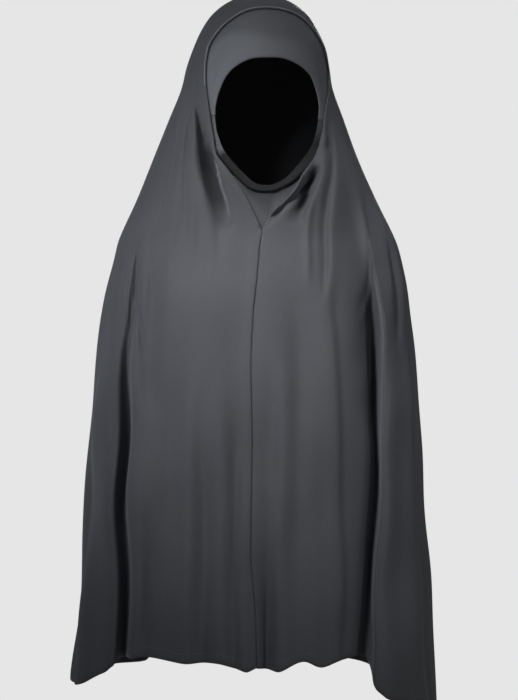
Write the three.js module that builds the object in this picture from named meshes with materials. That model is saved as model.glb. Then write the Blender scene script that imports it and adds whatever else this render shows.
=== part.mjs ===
// A khimar veil: one long cloth that covers head, shoulders and arms, with a face opening framed by a
// forehead band, an elastic chin band and a throat panel. Millimetres, +Z up, the face looks along -Y.
// The origin is the inside of the crown, where the veil sits on the head.
//
// The cloth is drawn as a flat disc with its centre on the crown. A point of the disc is a reach, the
// distance down from the crown, and an azimuth, in degrees from the front towards +X. The drape gives
// the place in space of each point of the disc, and every piece is a patch of that disc.
import * as THREE from 'three';

// Driving sizes.
const veilLength = 926; // crown to the lowest corner of the hem
const headWidth = 186.5;
const headDepth = 220;
const shoulderWidth = 370;
const shoulderDepth = 256;
const hemWidth = 473;
const hemDepth = 356;
const crownHeight = 100; // the dome of the hood, down to where its sides stand upright
const frameWidth = 153; // the edge of the outer cloth around the face
const frameHeight = 284;
const frameDrop = 29; // crown to the top of that edge
const faceWidth = 136; // the face opening
const faceHeight = 161;
const faceDrop = 95;
const faceShift = 10; // the head is turned a little to one side
const clothThickness = 1.6;
const layerGap = 0.8; // between one layer of cloth and the next
const hemTurn = 12; // height of the doubled cloth at the hem
const bandTuck = 9; // what the forehead band reaches under the outer cloth
const chinBandWidth = 10;
const chinBandRoll = 1.4; // how far the elastic edge swells
const panelTuck = 7; // what the throat panel reaches under its neighbours
const seamAllowance = 11;
const seamGroove = 1.2;
const foldDepth = 10;
const foldWidth = 10;
const edgeLift = 12; // how far the edge stands off the cheeks

// Horizontal sections of the draped cloth. Each is four quarters of a superellipse, whose half axes
// are shares of the named width and depth.
const sections = [
  { down: 0.0, wide: headWidth, left: 0, right: 0, deep: headDepth, front: 0, back: 0, square: 2 },
  { down: 0.007, wide: headWidth, left: 0.176, right: 0.186, deep: headDepth, front: 0.168, back: 0.177, square: 2 },
  { down: 0.027, wide: headWidth, left: 0.319, right: 0.33, deep: headDepth, front: 0.309, back: 0.336, square: 2 },
  { down: 0.048, wide: headWidth, left: 0.394, right: 0.399, deep: headDepth, front: 0.382, back: 0.418, square: 2 },
  { down: 0.076, wide: headWidth, left: 0.457, right: 0.463, deep: headDepth, front: 0.432, back: 0.482, square: 2.05 },
  { down: 0.104, wide: headWidth, left: 0.505, right: 0.489, deep: headDepth, front: 0.459, back: 0.514, square: 2.05 },
  { down: 0.132, wide: headWidth, left: 0.537, right: 0.511, deep: headDepth, front: 0.473, back: 0.527, square: 2.1 },
  { down: 0.174, wide: headWidth, left: 0.622, right: 0.585, deep: headDepth, front: 0.477, back: 0.527, square: 2.1 },
  { down: 0.23, wide: shoulderWidth, left: 0.37, right: 0.346, deep: shoulderDepth, front: 0.418, back: 0.445, square: 2.1 },
  { down: 0.286, wide: shoulderWidth, left: 0.426, right: 0.408, deep: shoulderDepth, front: 0.438, back: 0.441, square: 2.15 },
  { down: 0.342, wide: shoulderWidth, left: 0.488, right: 0.475, deep: shoulderDepth, front: 0.484, back: 0.457, square: 2.3 },
  { down: 0.37, wide: shoulderWidth, left: 0.504, right: 0.496, deep: shoulderDepth, front: 0.523, back: 0.477, square: 2.35 },
  { down: 0.427, wide: shoulderWidth, left: 0.536, right: 0.523, deep: shoulderDepth, front: 0.594, back: 0.523, square: 2.4 },
  { down: 0.539, wide: hemWidth, left: 0.447, right: 0.429, deep: hemDepth, front: 0.472, back: 0.41, square: 2.45 },
  { down: 0.651, wide: hemWidth, left: 0.462, right: 0.439, deep: hemDepth, front: 0.483, back: 0.427, square: 2.5 },
  { down: 0.763, wide: hemWidth, left: 0.473, right: 0.45, deep: hemDepth, front: 0.492, back: 0.444, square: 2.5 },
  { down: 0.876, wide: hemWidth, left: 0.492, right: 0.464, deep: hemDepth, front: 0.503, back: 0.463, square: 2.5 },
  { down: 1.0, wide: hemWidth, left: 0.519, right: 0.481, deep: hemDepth, front: 0.517, back: 0.483, square: 2.5 },
];

// The edge of the outer cloth around the face, from the point of the V up one side, over the forehead
// and down the other. Across is a share of half the frame width, down of the frame height.
const frameEdge = [
  { across: -0.09, down: 1.0 },
  { across: 0.11, down: 0.905 },
  { across: 0.26, down: 0.873 },
  { across: 0.435, down: 0.818 },
  { across: 0.61, down: 0.757 },
  { across: 0.77, down: 0.7 },
  { across: 0.88, down: 0.645 },
  { across: 0.925, down: 0.54 },
  { across: 0.98, down: 0.42 },
  { across: 1.03, down: 0.33 },
  { across: 1.04, down: 0.25 },
  { across: 0.98, down: 0.175 },
  { across: 0.83, down: 0.095 },
  { across: 0.61, down: 0.037 },
  { across: 0.31, down: 0.005 },
  { across: -0.02, down: -0.002 },
  { across: -0.32, down: 0.011 },
  { across: -0.56, down: 0.046 },
  { across: -0.81, down: 0.107 },
  { across: -0.95, down: 0.17 },
  { across: -1.0, down: 0.28 },
  { across: -0.98, down: 0.37 },
  { across: -0.935, down: 0.45 },
  { across: -0.89, down: 0.54 },
  { across: -0.87, down: 0.605 },
  { across: -0.81, down: 0.652 },
  { across: -0.7, down: 0.697 },
  { across: -0.51, down: 0.772 },
  { across: -0.355, down: 0.842 },
  { across: -0.215, down: 0.915 },
  { across: -0.09, down: 1.0 },
];

// The face opening, a closed oval from its lowest point round the same way.
const faceEdge = [
  { across: -0.02, down: 0.99 },
  { across: 0.14, down: 0.98 },
  { across: 0.37, down: 0.924 },
  { across: 0.61, down: 0.811 },
  { across: 0.755, down: 0.732 },
  { across: 0.855, down: 0.662 },
  { across: 0.92, down: 0.58 },
  { across: 0.97, down: 0.49 },
  { across: 0.995, down: 0.4 },
  { across: 0.985, down: 0.318 },
  { across: 0.94, down: 0.235 },
  { across: 0.85, down: 0.135 },
  { across: 0.69, down: 0.068 },
  { across: 0.5, down: 0.026 },
  { across: 0.3, down: 0.0 },
  { across: 0.0, down: -0.003 },
  { across: -0.3, down: 0.008 },
  { across: -0.5, down: 0.043 },
  { across: -0.66, down: 0.09 },
  { across: -0.78, down: 0.15 },
  { across: -0.87, down: 0.227 },
  { across: -0.935, down: 0.303 },
  { across: -0.975, down: 0.4 },
  { across: -0.955, down: 0.52 },
  { across: -0.91, down: 0.6 },
  { across: -0.8, down: 0.715 },
  { across: -0.56, down: 0.842 },
  { across: -0.32, down: 0.942 },
  { across: -0.18, down: 0.98 },
];

// Where the columns of the mesh leave the frame edge, as shares of its length, and the azimuth at
// which they reach the hem.
const columnRun = [
  { share: 0, azimuth: 0 },
  { share: 0.124, azimuth: 24 },
  { share: 0.28, azimuth: 58 },
  { share: 0.341, azimuth: 76 },
  { share: 0.402, azimuth: 98 },
  { share: 0.436, azimuth: 122 },
  { share: 0.48, azimuth: 156 },
  { share: 0.5, azimuth: 180 },
];

// How many columns each side spends up to an azimuth: most where the deep folds are.
const columnPlan = [
  { to: 3.6, count: 2 },
  { to: 30, count: 8 },
  { to: 60, count: 13 },
  { to: 92, count: 5 },
  { to: 180, count: 11 },
];
const rowCount = 31;
const rowCrowding = 1.4; // rows lie closer together near the face

// The hem, as shares of the length at each azimuth. The cloth is longest at its two side corners.
const hemLine = [
  { azimuth: -180, down: 0.937 },
  { azimuth: -135, down: 0.95 },
  { azimuth: -104, down: 0.962 },
  { azimuth: -88, down: 0.962 },
  { azimuth: -70, down: 0.951 },
  { azimuth: -58, down: 0.928 },
  { azimuth: -48, down: 0.908 },
  { azimuth: -40, down: 0.903 },
  { azimuth: -28, down: 0.908 },
  { azimuth: -14, down: 0.908 },
  { azimuth: -4, down: 0.918 },
  { azimuth: 0, down: 0.914 },
  { azimuth: 8, down: 0.918 },
  { azimuth: 17, down: 0.905 },
  { azimuth: 24, down: 0.913 },
  { azimuth: 31, down: 0.906 },
  { azimuth: 38, down: 0.908 },
  { azimuth: 41, down: 0.937 },
  { azimuth: 44, down: 0.95 },
  { azimuth: 50, down: 0.962 },
  { azimuth: 60, down: 0.974 },
  { azimuth: 74, down: 0.985 },
  { azimuth: 92, down: 0.998 },
  { azimuth: 112, down: 0.988 },
  { azimuth: 140, down: 0.955 },
  { azimuth: 180, down: 0.937 },
];

// Three lines on the cloth that wander as it hangs: the front seam and the two arm folds. Home is the
// azimuth of the line on the disc, spread the degrees over which the cloth goes along with it.
const guides = [
  { name: 'seam', home: 0, spread: 24 },
  { name: 'leftArm', home: -50.5, spread: 20 },
  { name: 'rightArm', home: 39, spread: 20 },
];
const guideRun = [
  { down: 0.33, seam: 1.8, leftArm: -59, rightArm: 52.5 },
  { down: 0.4, seam: 0, leftArm: -58, rightArm: 51 },
  { down: 0.48, seam: -2.5, leftArm: -56.8, rightArm: 49.2 },
  { down: 0.56, seam: -3.4, leftArm: -55.7, rightArm: 47.4 },
  { down: 0.77, seam: -3.2, leftArm: -52.7, rightArm: 42.7 },
  { down: 0.85, seam: -1.2, leftArm: -51.5, rightArm: 40.9 },
  { down: 1.0, seam: -0.6, leftArm: -49.4, rightArm: 37.5 },
];
const guideTop = 0.2; // above this drop nothing wanders
const guideFull = 0.33;

// Folds. Each runs from one drop and azimuth to another. Depth is a share of the fold depth, outwards
// positive; low and high are its half widths towards smaller and larger azimuths, as shares of the
// fold width; fade is the drop over which it comes and goes.
const folds = [
  // Arm folds, where the front panel hangs over the drape of the arms.
  { name: 'left arm', from: 0.4, to: 1.2, start: -58, end: -46.5, depth: -4.2, low: 1.5, high: 0.95, fade: 0.14 },
  { name: 'right arm', from: 0.4, to: 1.2, start: 51, end: 33, depth: -4.2, low: 0.95, high: 1.5, fade: 0.14 },
  // Creases over the upper arms.
  { name: 'left crease', from: 0.31, to: 0.52, start: -66, end: -44, depth: -0.8, low: 0.7, high: 0.9, fade: 0.05 },
  { name: 'left shoulder', from: 0.3, to: 0.48, start: -57, end: -43, depth: -0.5, low: 1.4, high: 1.4, fade: 0.06 },
  { name: 'right crease', from: 0.34, to: 0.52, start: 53, end: 44, depth: -0.8, low: 1.1, high: 1.0, fade: 0.07 },
  { name: 'right shoulder', from: 0.34, to: 0.52, start: 59, end: 50, depth: 0.5, low: 1.2, high: 1.3, fade: 0.07 },
  // Soft folds that fall from the bust to the hem.
  { name: 'front 1', from: 0.68, to: 1.2, start: -40.5, end: -41.5, depth: -0.8, low: 1.4, high: 1.4, fade: 0.12 },
  { name: 'front 2', from: 0.5, to: 0.84, start: -33.5, end: -35, depth: -0.45, low: 1.9, high: 1.9, fade: 0.1 },
  { name: 'front 3', from: 0.46, to: 1.2, start: -28.5, end: -26, depth: 0.6, low: 1.5, high: 1.5, fade: 0.16 },
  { name: 'front 4', from: 0.52, to: 1.2, start: -22.4, end: -20, depth: -0.6, low: 1.2, high: 1.2, fade: 0.16 },
  { name: 'front 5', from: 0.5, to: 1.2, start: -15, end: -13.4, depth: 0.4, low: 1.3, high: 1.3, fade: 0.16 },
  { name: 'front 6', from: 0.56, to: 1.1, start: -10.2, end: -9, depth: -0.4, low: 0.9, high: 0.9, fade: 0.14 },
  { name: 'front 7', from: 0.74, to: 1.2, start: 2.6, end: 2.6, depth: -1.1, low: 0.7, high: 1.2, fade: 0.12 },
  { name: 'front 8', from: 0.42, to: 1.2, start: 11.2, end: 10.2, depth: 0.85, low: 1.0, high: 1.0, fade: 0.16 },
  { name: 'front 9', from: 0.44, to: 1.2, start: 16.2, end: 14.8, depth: -0.85, low: 1.0, high: 1.1, fade: 0.16 },
  { name: 'front 10', from: 0.36, to: 1.2, start: 25.5, end: 31.5, depth: 1.0, low: 2.0, high: 0.8, fade: 0.16 },
  // Folds that hang from the right cheek.
  { name: 'right cheek 1', from: 0.27, to: 0.43, start: 33.8, end: 26.5, depth: -0.5, low: 1.2, high: 1.2, fade: 0.06 },
  { name: 'right cheek 2', from: 0.24, to: 0.47, start: 44, end: 30, depth: 0.8, low: 1.4, high: 1.3, fade: 0.08 },
  { name: 'right cheek 3', from: 0.2, to: 0.5, start: 53, end: 35, depth: -0.9, low: 1.2, high: 1.5, fade: 0.1 },
  { name: 'right cheek 4', from: 0.24, to: 0.5, start: 58, end: 41, depth: 0.6, low: 1.4, high: 1.3, fade: 0.1 },
  { name: 'right pocket', from: 0.21, to: 0.33, start: 38.5, end: 28, depth: -1.5, low: 0.8, high: 1.1, fade: 0.07 },
  // Folds that hang from the left cheek.
  { name: 'left pocket', from: 0.13, to: 0.31, start: -47, end: -27, depth: -1.5, low: 1.0, high: 0.8, fade: 0.08 },
  { name: 'left cheek 1', from: 0.14, to: 0.42, start: -47, end: -32, depth: 0.5, low: 1.0, high: 1.0, fade: 0.08 },
  { name: 'left cheek 2', from: 0.13, to: 0.36, start: -52.5, end: -39, depth: -0.6, low: 0.8, high: 0.8, fade: 0.06 },
  { name: 'left cheek 3', from: 0.14, to: 0.42, start: -57, end: -42, depth: 0.5, low: 1.0, high: 1.0, fade: 0.08 },
  { name: 'left cheek 4', from: 0.15, to: 0.36, start: -68, end: -54, depth: -0.6, low: 1.0, high: 1.0, fade: 0.07 },
  // Folds behind the arms and down the back.
  { name: 'left rear', from: 0.36, to: 1.2, start: -122, end: -128, depth: -1.9, low: 2.0, high: 1.6, fade: 0.2 },
  { name: 'right rear', from: 0.36, to: 1.2, start: 120, end: 127, depth: -1.9, low: 1.6, high: 2.0, fade: 0.2 },
  { name: 'back 1', from: 0.3, to: 1.2, start: -144, end: -149, depth: 0.8, low: 1.8, high: 1.6, fade: 0.22 },
  { name: 'back 2', from: 0.22, to: 1.2, start: -158, end: -163, depth: -0.9, low: 1.5, high: 1.5, fade: 0.22 },
  { name: 'back 3', from: 0.26, to: 1.2, start: -171, end: -175, depth: 0.7, low: 1.5, high: 1.5, fade: 0.22 },
  { name: 'back 4', from: 0.24, to: 1.2, start: 174, end: 172, depth: -0.7, low: 1.4, high: 1.4, fade: 0.22 },
  { name: 'back 5', from: 0.28, to: 1.2, start: 158, end: 160, depth: 0.9, low: 1.6, high: 1.8, fade: 0.22 },
  { name: 'back 6', from: 0.32, to: 1.2, start: 142, end: 146, depth: -0.7, low: 1.5, high: 1.5, fade: 0.22 },
];

// Where the edge of the outer cloth stands off the cheeks: drops as shares of the length, and the
// azimuth at which it has settled on either side.
const liftFrom = 0.165;
const liftTo = 0.355;
const liftLeft = 66;
const liftRight = 84;
const bandEnd = 0.34; // above this drop the folds stay clear of the pieces next to the face
const softness = 0.8;

// The chin band runs round the face edge from its left end, under the chin, to its right end. Share
// is of the face edge, wide a share of the band's width under the chin.
const chinRun = [
  { share: 0.725, wide: 1.2 },
  { share: 0.8, wide: 1.2 },
  { share: 0.86, wide: 1.2 },
  { share: 0.91, wide: 0.95 },
  { share: 1.0, wide: 0.85 },
  { share: 1.08, wide: 0.9 },
  { share: 1.15, wide: 1.3 },
  { share: 1.2, wide: 2.0 },
  { share: 1.26, wide: 2.2 },
  { share: 1.31, wide: 1.6 },
];

const radians = Math.PI / 180;
const fullTurn = 360;

function smoothStep(low, high, value) {
  const t = Math.min(1, Math.max(0, (value - low) / (high - low)));
  return t * t * (3 - 2 * t);
}

function straight(rows, key, column, value) {
  const last = rows.length - 1;
  if (value <= rows[0][key]) return rows[0][column];
  if (value >= rows[last][key]) return rows[last][column];
  const i = rows.findIndex((row) => row[key] > value);
  const t = (value - rows[i - 1][key]) / (rows[i][key] - rows[i - 1][key]);
  return rows[i - 1][column] + t * (rows[i][column] - rows[i - 1][column]);
}

// A smooth curve through the rows of a table, with the slope at a row taken from its neighbours.
function curve(rows, key, column, value) {
  const last = rows.length - 1;
  const slope = (i) => {
    const a = rows[Math.max(0, i - 1)];
    const b = rows[Math.min(last, i + 1)];
    return (b[column] - a[column]) / (b[key] - a[key]);
  };
  if (value <= rows[0][key]) return rows[0][column];
  if (value >= rows[last][key]) return rows[last][column];
  const i = rows.findIndex((row) => row[key] > value);
  const gap = rows[i][key] - rows[i - 1][key];
  const t = (value - rows[i - 1][key]) / gap;
  const start = rows[i - 1][column];
  const end = rows[i][column];
  return start * (2 * t ** 3 - 3 * t ** 2 + 1) + end * (3 * t ** 2 - 2 * t ** 3)
    + gap * (slope(i - 1) * (t ** 3 - 2 * t ** 2 + t) + slope(i) * (t ** 3 - t ** 2));
}

// Reach and drop: over the dome the cloth runs a quarter circle, and below it straight down.
function reachOf(drop) {
  return drop < crownHeight
    ? crownHeight * Math.acos(1 - drop / crownHeight)
    : (crownHeight * Math.PI) / 2 + drop - crownHeight;
}

function dropOf(reach) {
  const quarter = (crownHeight * Math.PI) / 2;
  return reach < quarter ? crownHeight * (1 - Math.cos(reach / crownHeight)) : crownHeight + reach - quarter;
}

const measured = sections.map((row) => ({
  reach: reachOf(row.down * veilLength),
  left: row.left * row.wide,
  right: row.right * row.wide,
  front: row.front * row.deep,
  back: row.back * row.deep,
  square: row.square,
}));

function formRadius(reach, azimuth) {
  const sine = Math.sin(azimuth * radians);
  const cosine = Math.cos(azimuth * radians);
  const half = curve(measured, 'reach', sine > 0 ? 'right' : 'left', reach);
  const depth = curve(measured, 'reach', cosine > 0 ? 'front' : 'back', reach);
  const power = curve(measured, 'reach', 'square', reach);
  if (half < 1e-6) return 0;
  return (Math.abs(sine / half) ** power + Math.abs(cosine / depth) ** power) ** (-1 / power);
}

function wrap(azimuth) {
  return azimuth - fullTurn * Math.round(azimuth / fullTurn);
}

function foldOffset(down, azimuth, radius) {
  let sum = 0;
  for (const fold of folds) {
    const run = (down - fold.from) / (fold.to - fold.from);
    if (run <= 0 || run >= 1) continue;
    const centre = fold.start + run * (fold.end - fold.start);
    const aside = wrap(azimuth - centre) * radians * radius;
    const width = (aside < 0 ? fold.low : fold.high) * foldWidth;
    const strength = smoothStep(fold.from, fold.from + fold.fade, down)
      * (1 - smoothStep(fold.to - fold.fade, fold.to, down));
    sum += fold.depth * foldDepth * strength * Math.exp(-((aside / width) ** 2));
  }
  return sum;
}

function liftOffset(down, azimuth) {
  const run = (down - liftFrom) / (liftTo - liftFrom);
  if (run <= 0 || run >= 1) return 0;
  const settled = azimuth > 0 ? liftRight : liftLeft;
  return edgeLift * Math.sin(Math.PI * run) ** 2 * (1 - smoothStep(settled / 3, settled, Math.abs(azimuth)));
}

// What the outer cloth adds to the plain form. Near the face it never sinks below that form.
function clothOffset(down, azimuth, radius) {
  const sum = liftOffset(down, azimuth) + foldOffset(down, azimuth, radius);
  const guarded = (1 - smoothStep(bandEnd, bandEnd + 0.05, down)) * (1 - smoothStep(60, 76, Math.abs(azimuth)));
  const floored = (sum + Math.hypot(sum, softness) - softness) / 2;
  return sum + guarded * (floored - sum);
}

// How far the cloth at a disc azimuth has wandered sideways, in degrees.
function wander(down, azimuth) {
  const strength = smoothStep(guideTop, guideFull, down);
  return guides.reduce((sum, guide) => {
    const aside = (azimuth - guide.home) / guide.spread;
    return sum + strength * (straight(guideRun, 'down', guide.name, down) - guide.home) * Math.exp(-(aside ** 2));
  }, 0);
}

// A point of the disc is a THREE.Vector2 with the front at -Y.
function discPoint(reach, azimuth) {
  return new THREE.Vector2(reach * Math.sin(azimuth * radians), -reach * Math.cos(azimuth * radians));
}

// The drape. Outer cloth has the folds and the lift; the pieces next to the face follow the plain form.
function drape(point, draped) {
  const reach = point.length();
  const drop = dropOf(reach);
  const down = drop / veilLength;
  let azimuth = Math.atan2(point.x, -point.y) / radians;
  azimuth += wander(down, azimuth);
  let radius = formRadius(reach, azimuth);
  if (draped) radius += clothOffset(down, azimuth, radius);
  return new THREE.Vector3(radius * Math.sin(azimuth * radians), -radius * Math.cos(azimuth * radians), -drop);
}

// How far the place moves for a millimetre of the disc, along its two axes.
function drapeSlopes(point, draped) {
  const step = 0.5;
  const slope = (x, y) => drape(new THREE.Vector2(point.x + x, point.y + y), draped)
    .sub(drape(new THREE.Vector2(point.x - x, point.y - y), draped))
    .divideScalar(2 * step);
  return [slope(step, 0), slope(0, step)];
}

function drapeNormal(point, draped) {
  const [across, along] = drapeSlopes(point, draped);
  return across.cross(along).normalize();
}

// The point of the disc that hangs at a given place seen from the front.
function discAt(x, drop, lifted) {
  const reach = reachOf(drop);
  const down = drop / veilLength;
  let low = -89;
  let high = 89;
  for (let i = 0; i < 40; i += 1) {
    const middle = (low + high) / 2;
    const radius = formRadius(reach, middle) + (lifted ? liftOffset(down, middle) : 0);
    if (radius * Math.sin(middle * radians) < x) low = middle;
    else high = middle;
  }
  let azimuth = low;
  for (let i = 0; i < 30; i += 1) azimuth += (low - wander(down, azimuth) - azimuth) / 2;
  return discPoint(reach, azimuth);
}

function edgeCurve(rows, width, height, drop, closed, lifted) {
  const points = rows.map((row) => {
    const place = discAt(faceShift + (row.across * width) / 2, drop + row.down * height, lifted);
    return new THREE.Vector3(place.x, place.y, 0);
  });
  const line = new THREE.CatmullRomCurve3(points, closed, 'centripetal');
  line.arcLengthDivisions = 400;
  return line;
}

const frameCurve = edgeCurve(frameEdge, frameWidth, frameHeight, frameDrop, false, true);
const faceCurve = edgeCurve(faceEdge, faceWidth, faceHeight, faceDrop, true, false);

// A point on an edge curve, moved outwards from the face by some millimetres over the plain form.
function besideEdge(line, share, outwards) {
  const t = Math.min(1, Math.max(0, share));
  const start = line.getPointAt(t);
  const tangent = line.getTangentAt(t);
  const place = new THREE.Vector2(start.x, start.y);
  const [across, along] = drapeSlopes(place, false);
  const run = across.clone().multiplyScalar(tangent.x).addScaledVector(along, tangent.y);
  const away = run.clone().cross(across.clone().cross(along)).normalize().multiplyScalar(outwards);
  const aa = across.dot(across);
  const ab = across.dot(along);
  const bb = along.dot(along);
  const size = aa * bb - ab * ab;
  const x = (away.dot(across) * bb - away.dot(along) * ab) / size;
  const y = (away.dot(along) * aa - away.dot(across) * ab) / size;
  return place.add(new THREE.Vector2(x, y));
}

// One closed solid from a grid of points: outside[i][j] and inside[i][j] are its two faces. A ring
// joins its last column to its first.
function sheetGeometry(outside, inside, ring) {
  const columns = outside.length;
  const rows = outside[0].length;
  const positions = [];
  for (const face of [outside, inside]) {
    for (const column of face) {
      for (const p of column) positions.push(p.x, p.y, p.z);
    }
  }
  const at = (face, i, j) => face * columns * rows + (i % columns) * rows + j;
  const triangles = [];
  const quad = (a, b, c, d) => triangles.push(a, b, c, a, c, d);
  const strips = ring ? columns : columns - 1;
  for (let i = 0; i < strips; i += 1) {
    for (let j = 0; j < rows - 1; j += 1) {
      quad(at(0, i, j), at(0, i, j + 1), at(0, i + 1, j + 1), at(0, i + 1, j));
      quad(at(1, i, j), at(1, i + 1, j), at(1, i + 1, j + 1), at(1, i, j + 1));
    }
    quad(at(0, i, 0), at(0, i + 1, 0), at(1, i + 1, 0), at(1, i, 0));
    quad(at(0, i, rows - 1), at(1, i, rows - 1), at(1, i + 1, rows - 1), at(0, i + 1, rows - 1));
  }
  if (!ring) {
    for (let j = 0; j < rows - 1; j += 1) {
      quad(at(0, 0, j), at(1, 0, j), at(1, 0, j + 1), at(0, 0, j + 1));
      quad(at(0, columns - 1, j), at(0, columns - 1, j + 1), at(1, columns - 1, j + 1), at(1, columns - 1, j));
    }
  }
  const geometry = new THREE.BufferGeometry();
  geometry.setAttribute('position', new THREE.Float32BufferAttribute(positions, 3));
  geometry.setIndex(triangles);
  geometry.computeVertexNormals();
  return geometry;
}

// The two faces of a sheet that lies at some height over the drape: heights(i, j) gives the heights
// of the outer and the inner face there.
function sheetFaces(discGrid, heights, draped) {
  const outside = [];
  const inside = [];
  discGrid.forEach((column, i) => {
    outside.push([]);
    inside.push([]);
    column.forEach((point, j) => {
      const place = drape(point, draped);
      const normal = drapeNormal(point, draped);
      const [outer, inner] = heights(i, j);
      outside[i].push(place.clone().addScaledVector(normal, outer));
      inside[i].push(place.clone().addScaledVector(normal, inner));
    });
  });
  return [outside, inside];
}

// Height of the middle of a layer: 0 is the outer cloth, 1 the layer under it.
function layerHeight(layer) {
  return -layer * (clothThickness + layerGap);
}

// The hem azimuth of each column of the outer cloth, from the front seam round to it again.
function columnAzimuths() {
  const side = [0];
  let from = 0;
  for (const stretch of columnPlan) {
    for (let k = 1; k <= stretch.count; k += 1) side.push(from + ((stretch.to - from) * k) / stretch.count);
    from = stretch.to;
  }
  const back = side.slice(1, -1).reverse().map((azimuth) => fullTurn - azimuth);
  return [...side, ...back];
}

// The disc points of one column of the outer cloth, from the frame edge down to the hem.
function columnPoints(azimuth) {
  const mirrored = azimuth > fullTurn / 2;
  const share = straight(columnRun, 'azimuth', 'share', mirrored ? fullTurn - azimuth : azimuth);
  const start = besideEdge(frameCurve, mirrored ? 1 - share : share, 0);
  const hemDrop = curve(hemLine, 'azimuth', 'down', wrap(azimuth)) * veilLength;
  const end = discPoint(reachOf(hemDrop), azimuth);
  const length = start.distanceTo(end);
  const hemTop = 1 - hemTurn / length;
  const points = [];
  for (let j = 0; j < rowCount; j += 1) points.push(start.clone().lerp(end, hemTop * (j / (rowCount - 1)) ** rowCrowding));
  points.push(end);
  return points;
}

function veil() {
  const grid = columnAzimuths().map(columnPoints);
  const half = clothThickness / 2;
  const heights = (i, j) => {
    const groove = i === 0 ? seamGroove : 0;
    const turned = j >= rowCount - 1 ? clothThickness * 0.7 : 0;
    return [half - groove * 0.5, -half - groove * 0.5 - turned];
  };
  const [outside, inside] = sheetFaces(grid, heights, true);
  return sheetGeometry(outside, inside, true);
}

// The seam allowance: a strip inside the cloth along the front seam, pressed to one side.
function frontSeam() {
  const columns = 3;
  const seam = columnPoints(0).slice(1, rowCount - 1);
  const grid = [];
  for (let i = 0; i < columns; i += 1) {
    grid.push(seam.map((point) => {
      const reach = point.length();
      const azimuth = Math.atan2(point.x, -point.y) / radians;
      const aside = (seamAllowance * (1 - i / (columns - 1))) / (formRadius(reach, azimuth) * radians);
      return discPoint(reach, azimuth - aside);
    }));
  }
  const heights = (i) => {
    const top = layerHeight(1) + clothThickness / 2 - (i === columns - 1 ? seamGroove / 2 : 0);
    return [top, top - clothThickness];
  };
  const [outside, inside] = sheetFaces(grid, heights, true);
  return sheetGeometry(outside, inside, false);
}

// Shares of the face edge at which the forehead band ends and the chin band begins.
const bandFrom = 0.31;
const bandTo = 0.725;
const bandColumns = 30;
const bandRows = 8;
const chinColumns = 26;
const chinRows = 4;
const panelFrom = 0.885;
const panelTo = 0.125;
const panelColumns = 10;
const panelRows = 5;

// The share of the frame edge that lies next to a share of the face edge.
function frameShareBeside(faceShare) {
  const place = drape(besideEdge(faceCurve, faceShare, 0), false);
  let best = 0;
  let nearest = Infinity;
  for (let k = 0; k <= 400; k += 1) {
    const distance = drape(besideEdge(frameCurve, k / 400, 0), false).distanceTo(place);
    if (distance < nearest) {
      nearest = distance;
      best = k / 400;
    }
  }
  return best;
}

function foreheadBand() {
  const half = clothThickness / 2;
  const height = layerHeight(1);
  const frameFrom = frameShareBeside(bandFrom);
  const frameTo = frameShareBeside(bandTo);
  const grid = [];
  for (let i = 0; i < bandColumns; i += 1) {
    const t = i / (bandColumns - 1);
    const share = bandFrom + t * (bandTo - bandFrom);
    const low = besideEdge(faceCurve, share, 0);
    const high = i === 0 || i === bandColumns - 1
      ? besideEdge(faceCurve, share, straight(chinRun, 'share', 'wide', share + (i === 0 ? 1 : 0)) * chinBandWidth)
      : besideEdge(frameCurve, frameFrom + t * (frameTo - frameFrom), bandTuck);
    const column = [];
    for (let j = 0; j < bandRows; j += 1) column.push(low.clone().lerp(high, j / (bandRows - 1)));
    grid.push(column);
  }
  const [outside, inside] = sheetFaces(grid, () => [height + half, height - half], false);
  return sheetGeometry(outside, inside, false);
}

function chinBand() {
  const half = clothThickness / 2;
  const height = layerHeight(1);
  const grid = [];
  const ends = layerGap / faceCurve.getLength();
  const from = bandTo + ends;
  const to = 1 + bandFrom - ends;
  for (let i = 0; i < chinColumns; i += 1) {
    const share = from + ((to - from) * i) / (chinColumns - 1);
    const column = [];
    const width = straight(chinRun, 'share', 'wide', share) * chinBandWidth;
    for (let j = 0; j < chinRows; j += 1) column.push(besideEdge(faceCurve, share % 1, (width * j) / (chinRows - 1)));
    grid.push(column);
  }
  const heights = (i, j) => {
    const middle = Math.sin((Math.PI * i) / (chinColumns - 1)) * Math.sin((Math.PI * (j + 0.6)) / chinRows);
    return [height + half + chinBandRoll * Math.max(0, middle), height - half];
  };
  const [outside, inside] = sheetFaces(grid, heights, false);
  return sheetGeometry(outside, inside, false);
}

// The throat panel hangs behind the chin band and shows in the V of the outer cloth.
function throatPanel() {
  const half = clothThickness / 2;
  const span = 1 - panelFrom + panelTo;
  const frameFrom = frameShareBeside(panelFrom);
  const frameTo = frameShareBeside(panelTo);
  const frameSpan = 1 - frameFrom + frameTo;
  const grid = [];
  for (let i = 0; i < panelColumns; i += 1) {
    const t = i / (panelColumns - 1);
    const share = panelFrom + t * span;
    const width = straight(chinRun, 'share', 'wide', share < 0.5 ? share + 1 : share) * chinBandWidth;
    const top = besideEdge(faceCurve, share % 1, width - panelTuck);
    const low = besideEdge(frameCurve, (frameFrom + t * frameSpan) % 1, panelTuck);
    const column = [];
    for (let j = 0; j < panelRows; j += 1) column.push(top.clone().lerp(low, j / (panelRows - 1)));
    grid.push(column);
  }
  const heights = (i, j) => {
    const middle = Math.sin((Math.PI * i) / (panelColumns - 1));
    const height = layerHeight(2 - (middle * Math.max(0, j - 1)) / (panelRows - 2));
    return [height + half, height - half];
  };
  const [outside, inside] = sheetFaces(grid, heights, false);
  return sheetGeometry(outside, inside, false);
}

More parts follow.
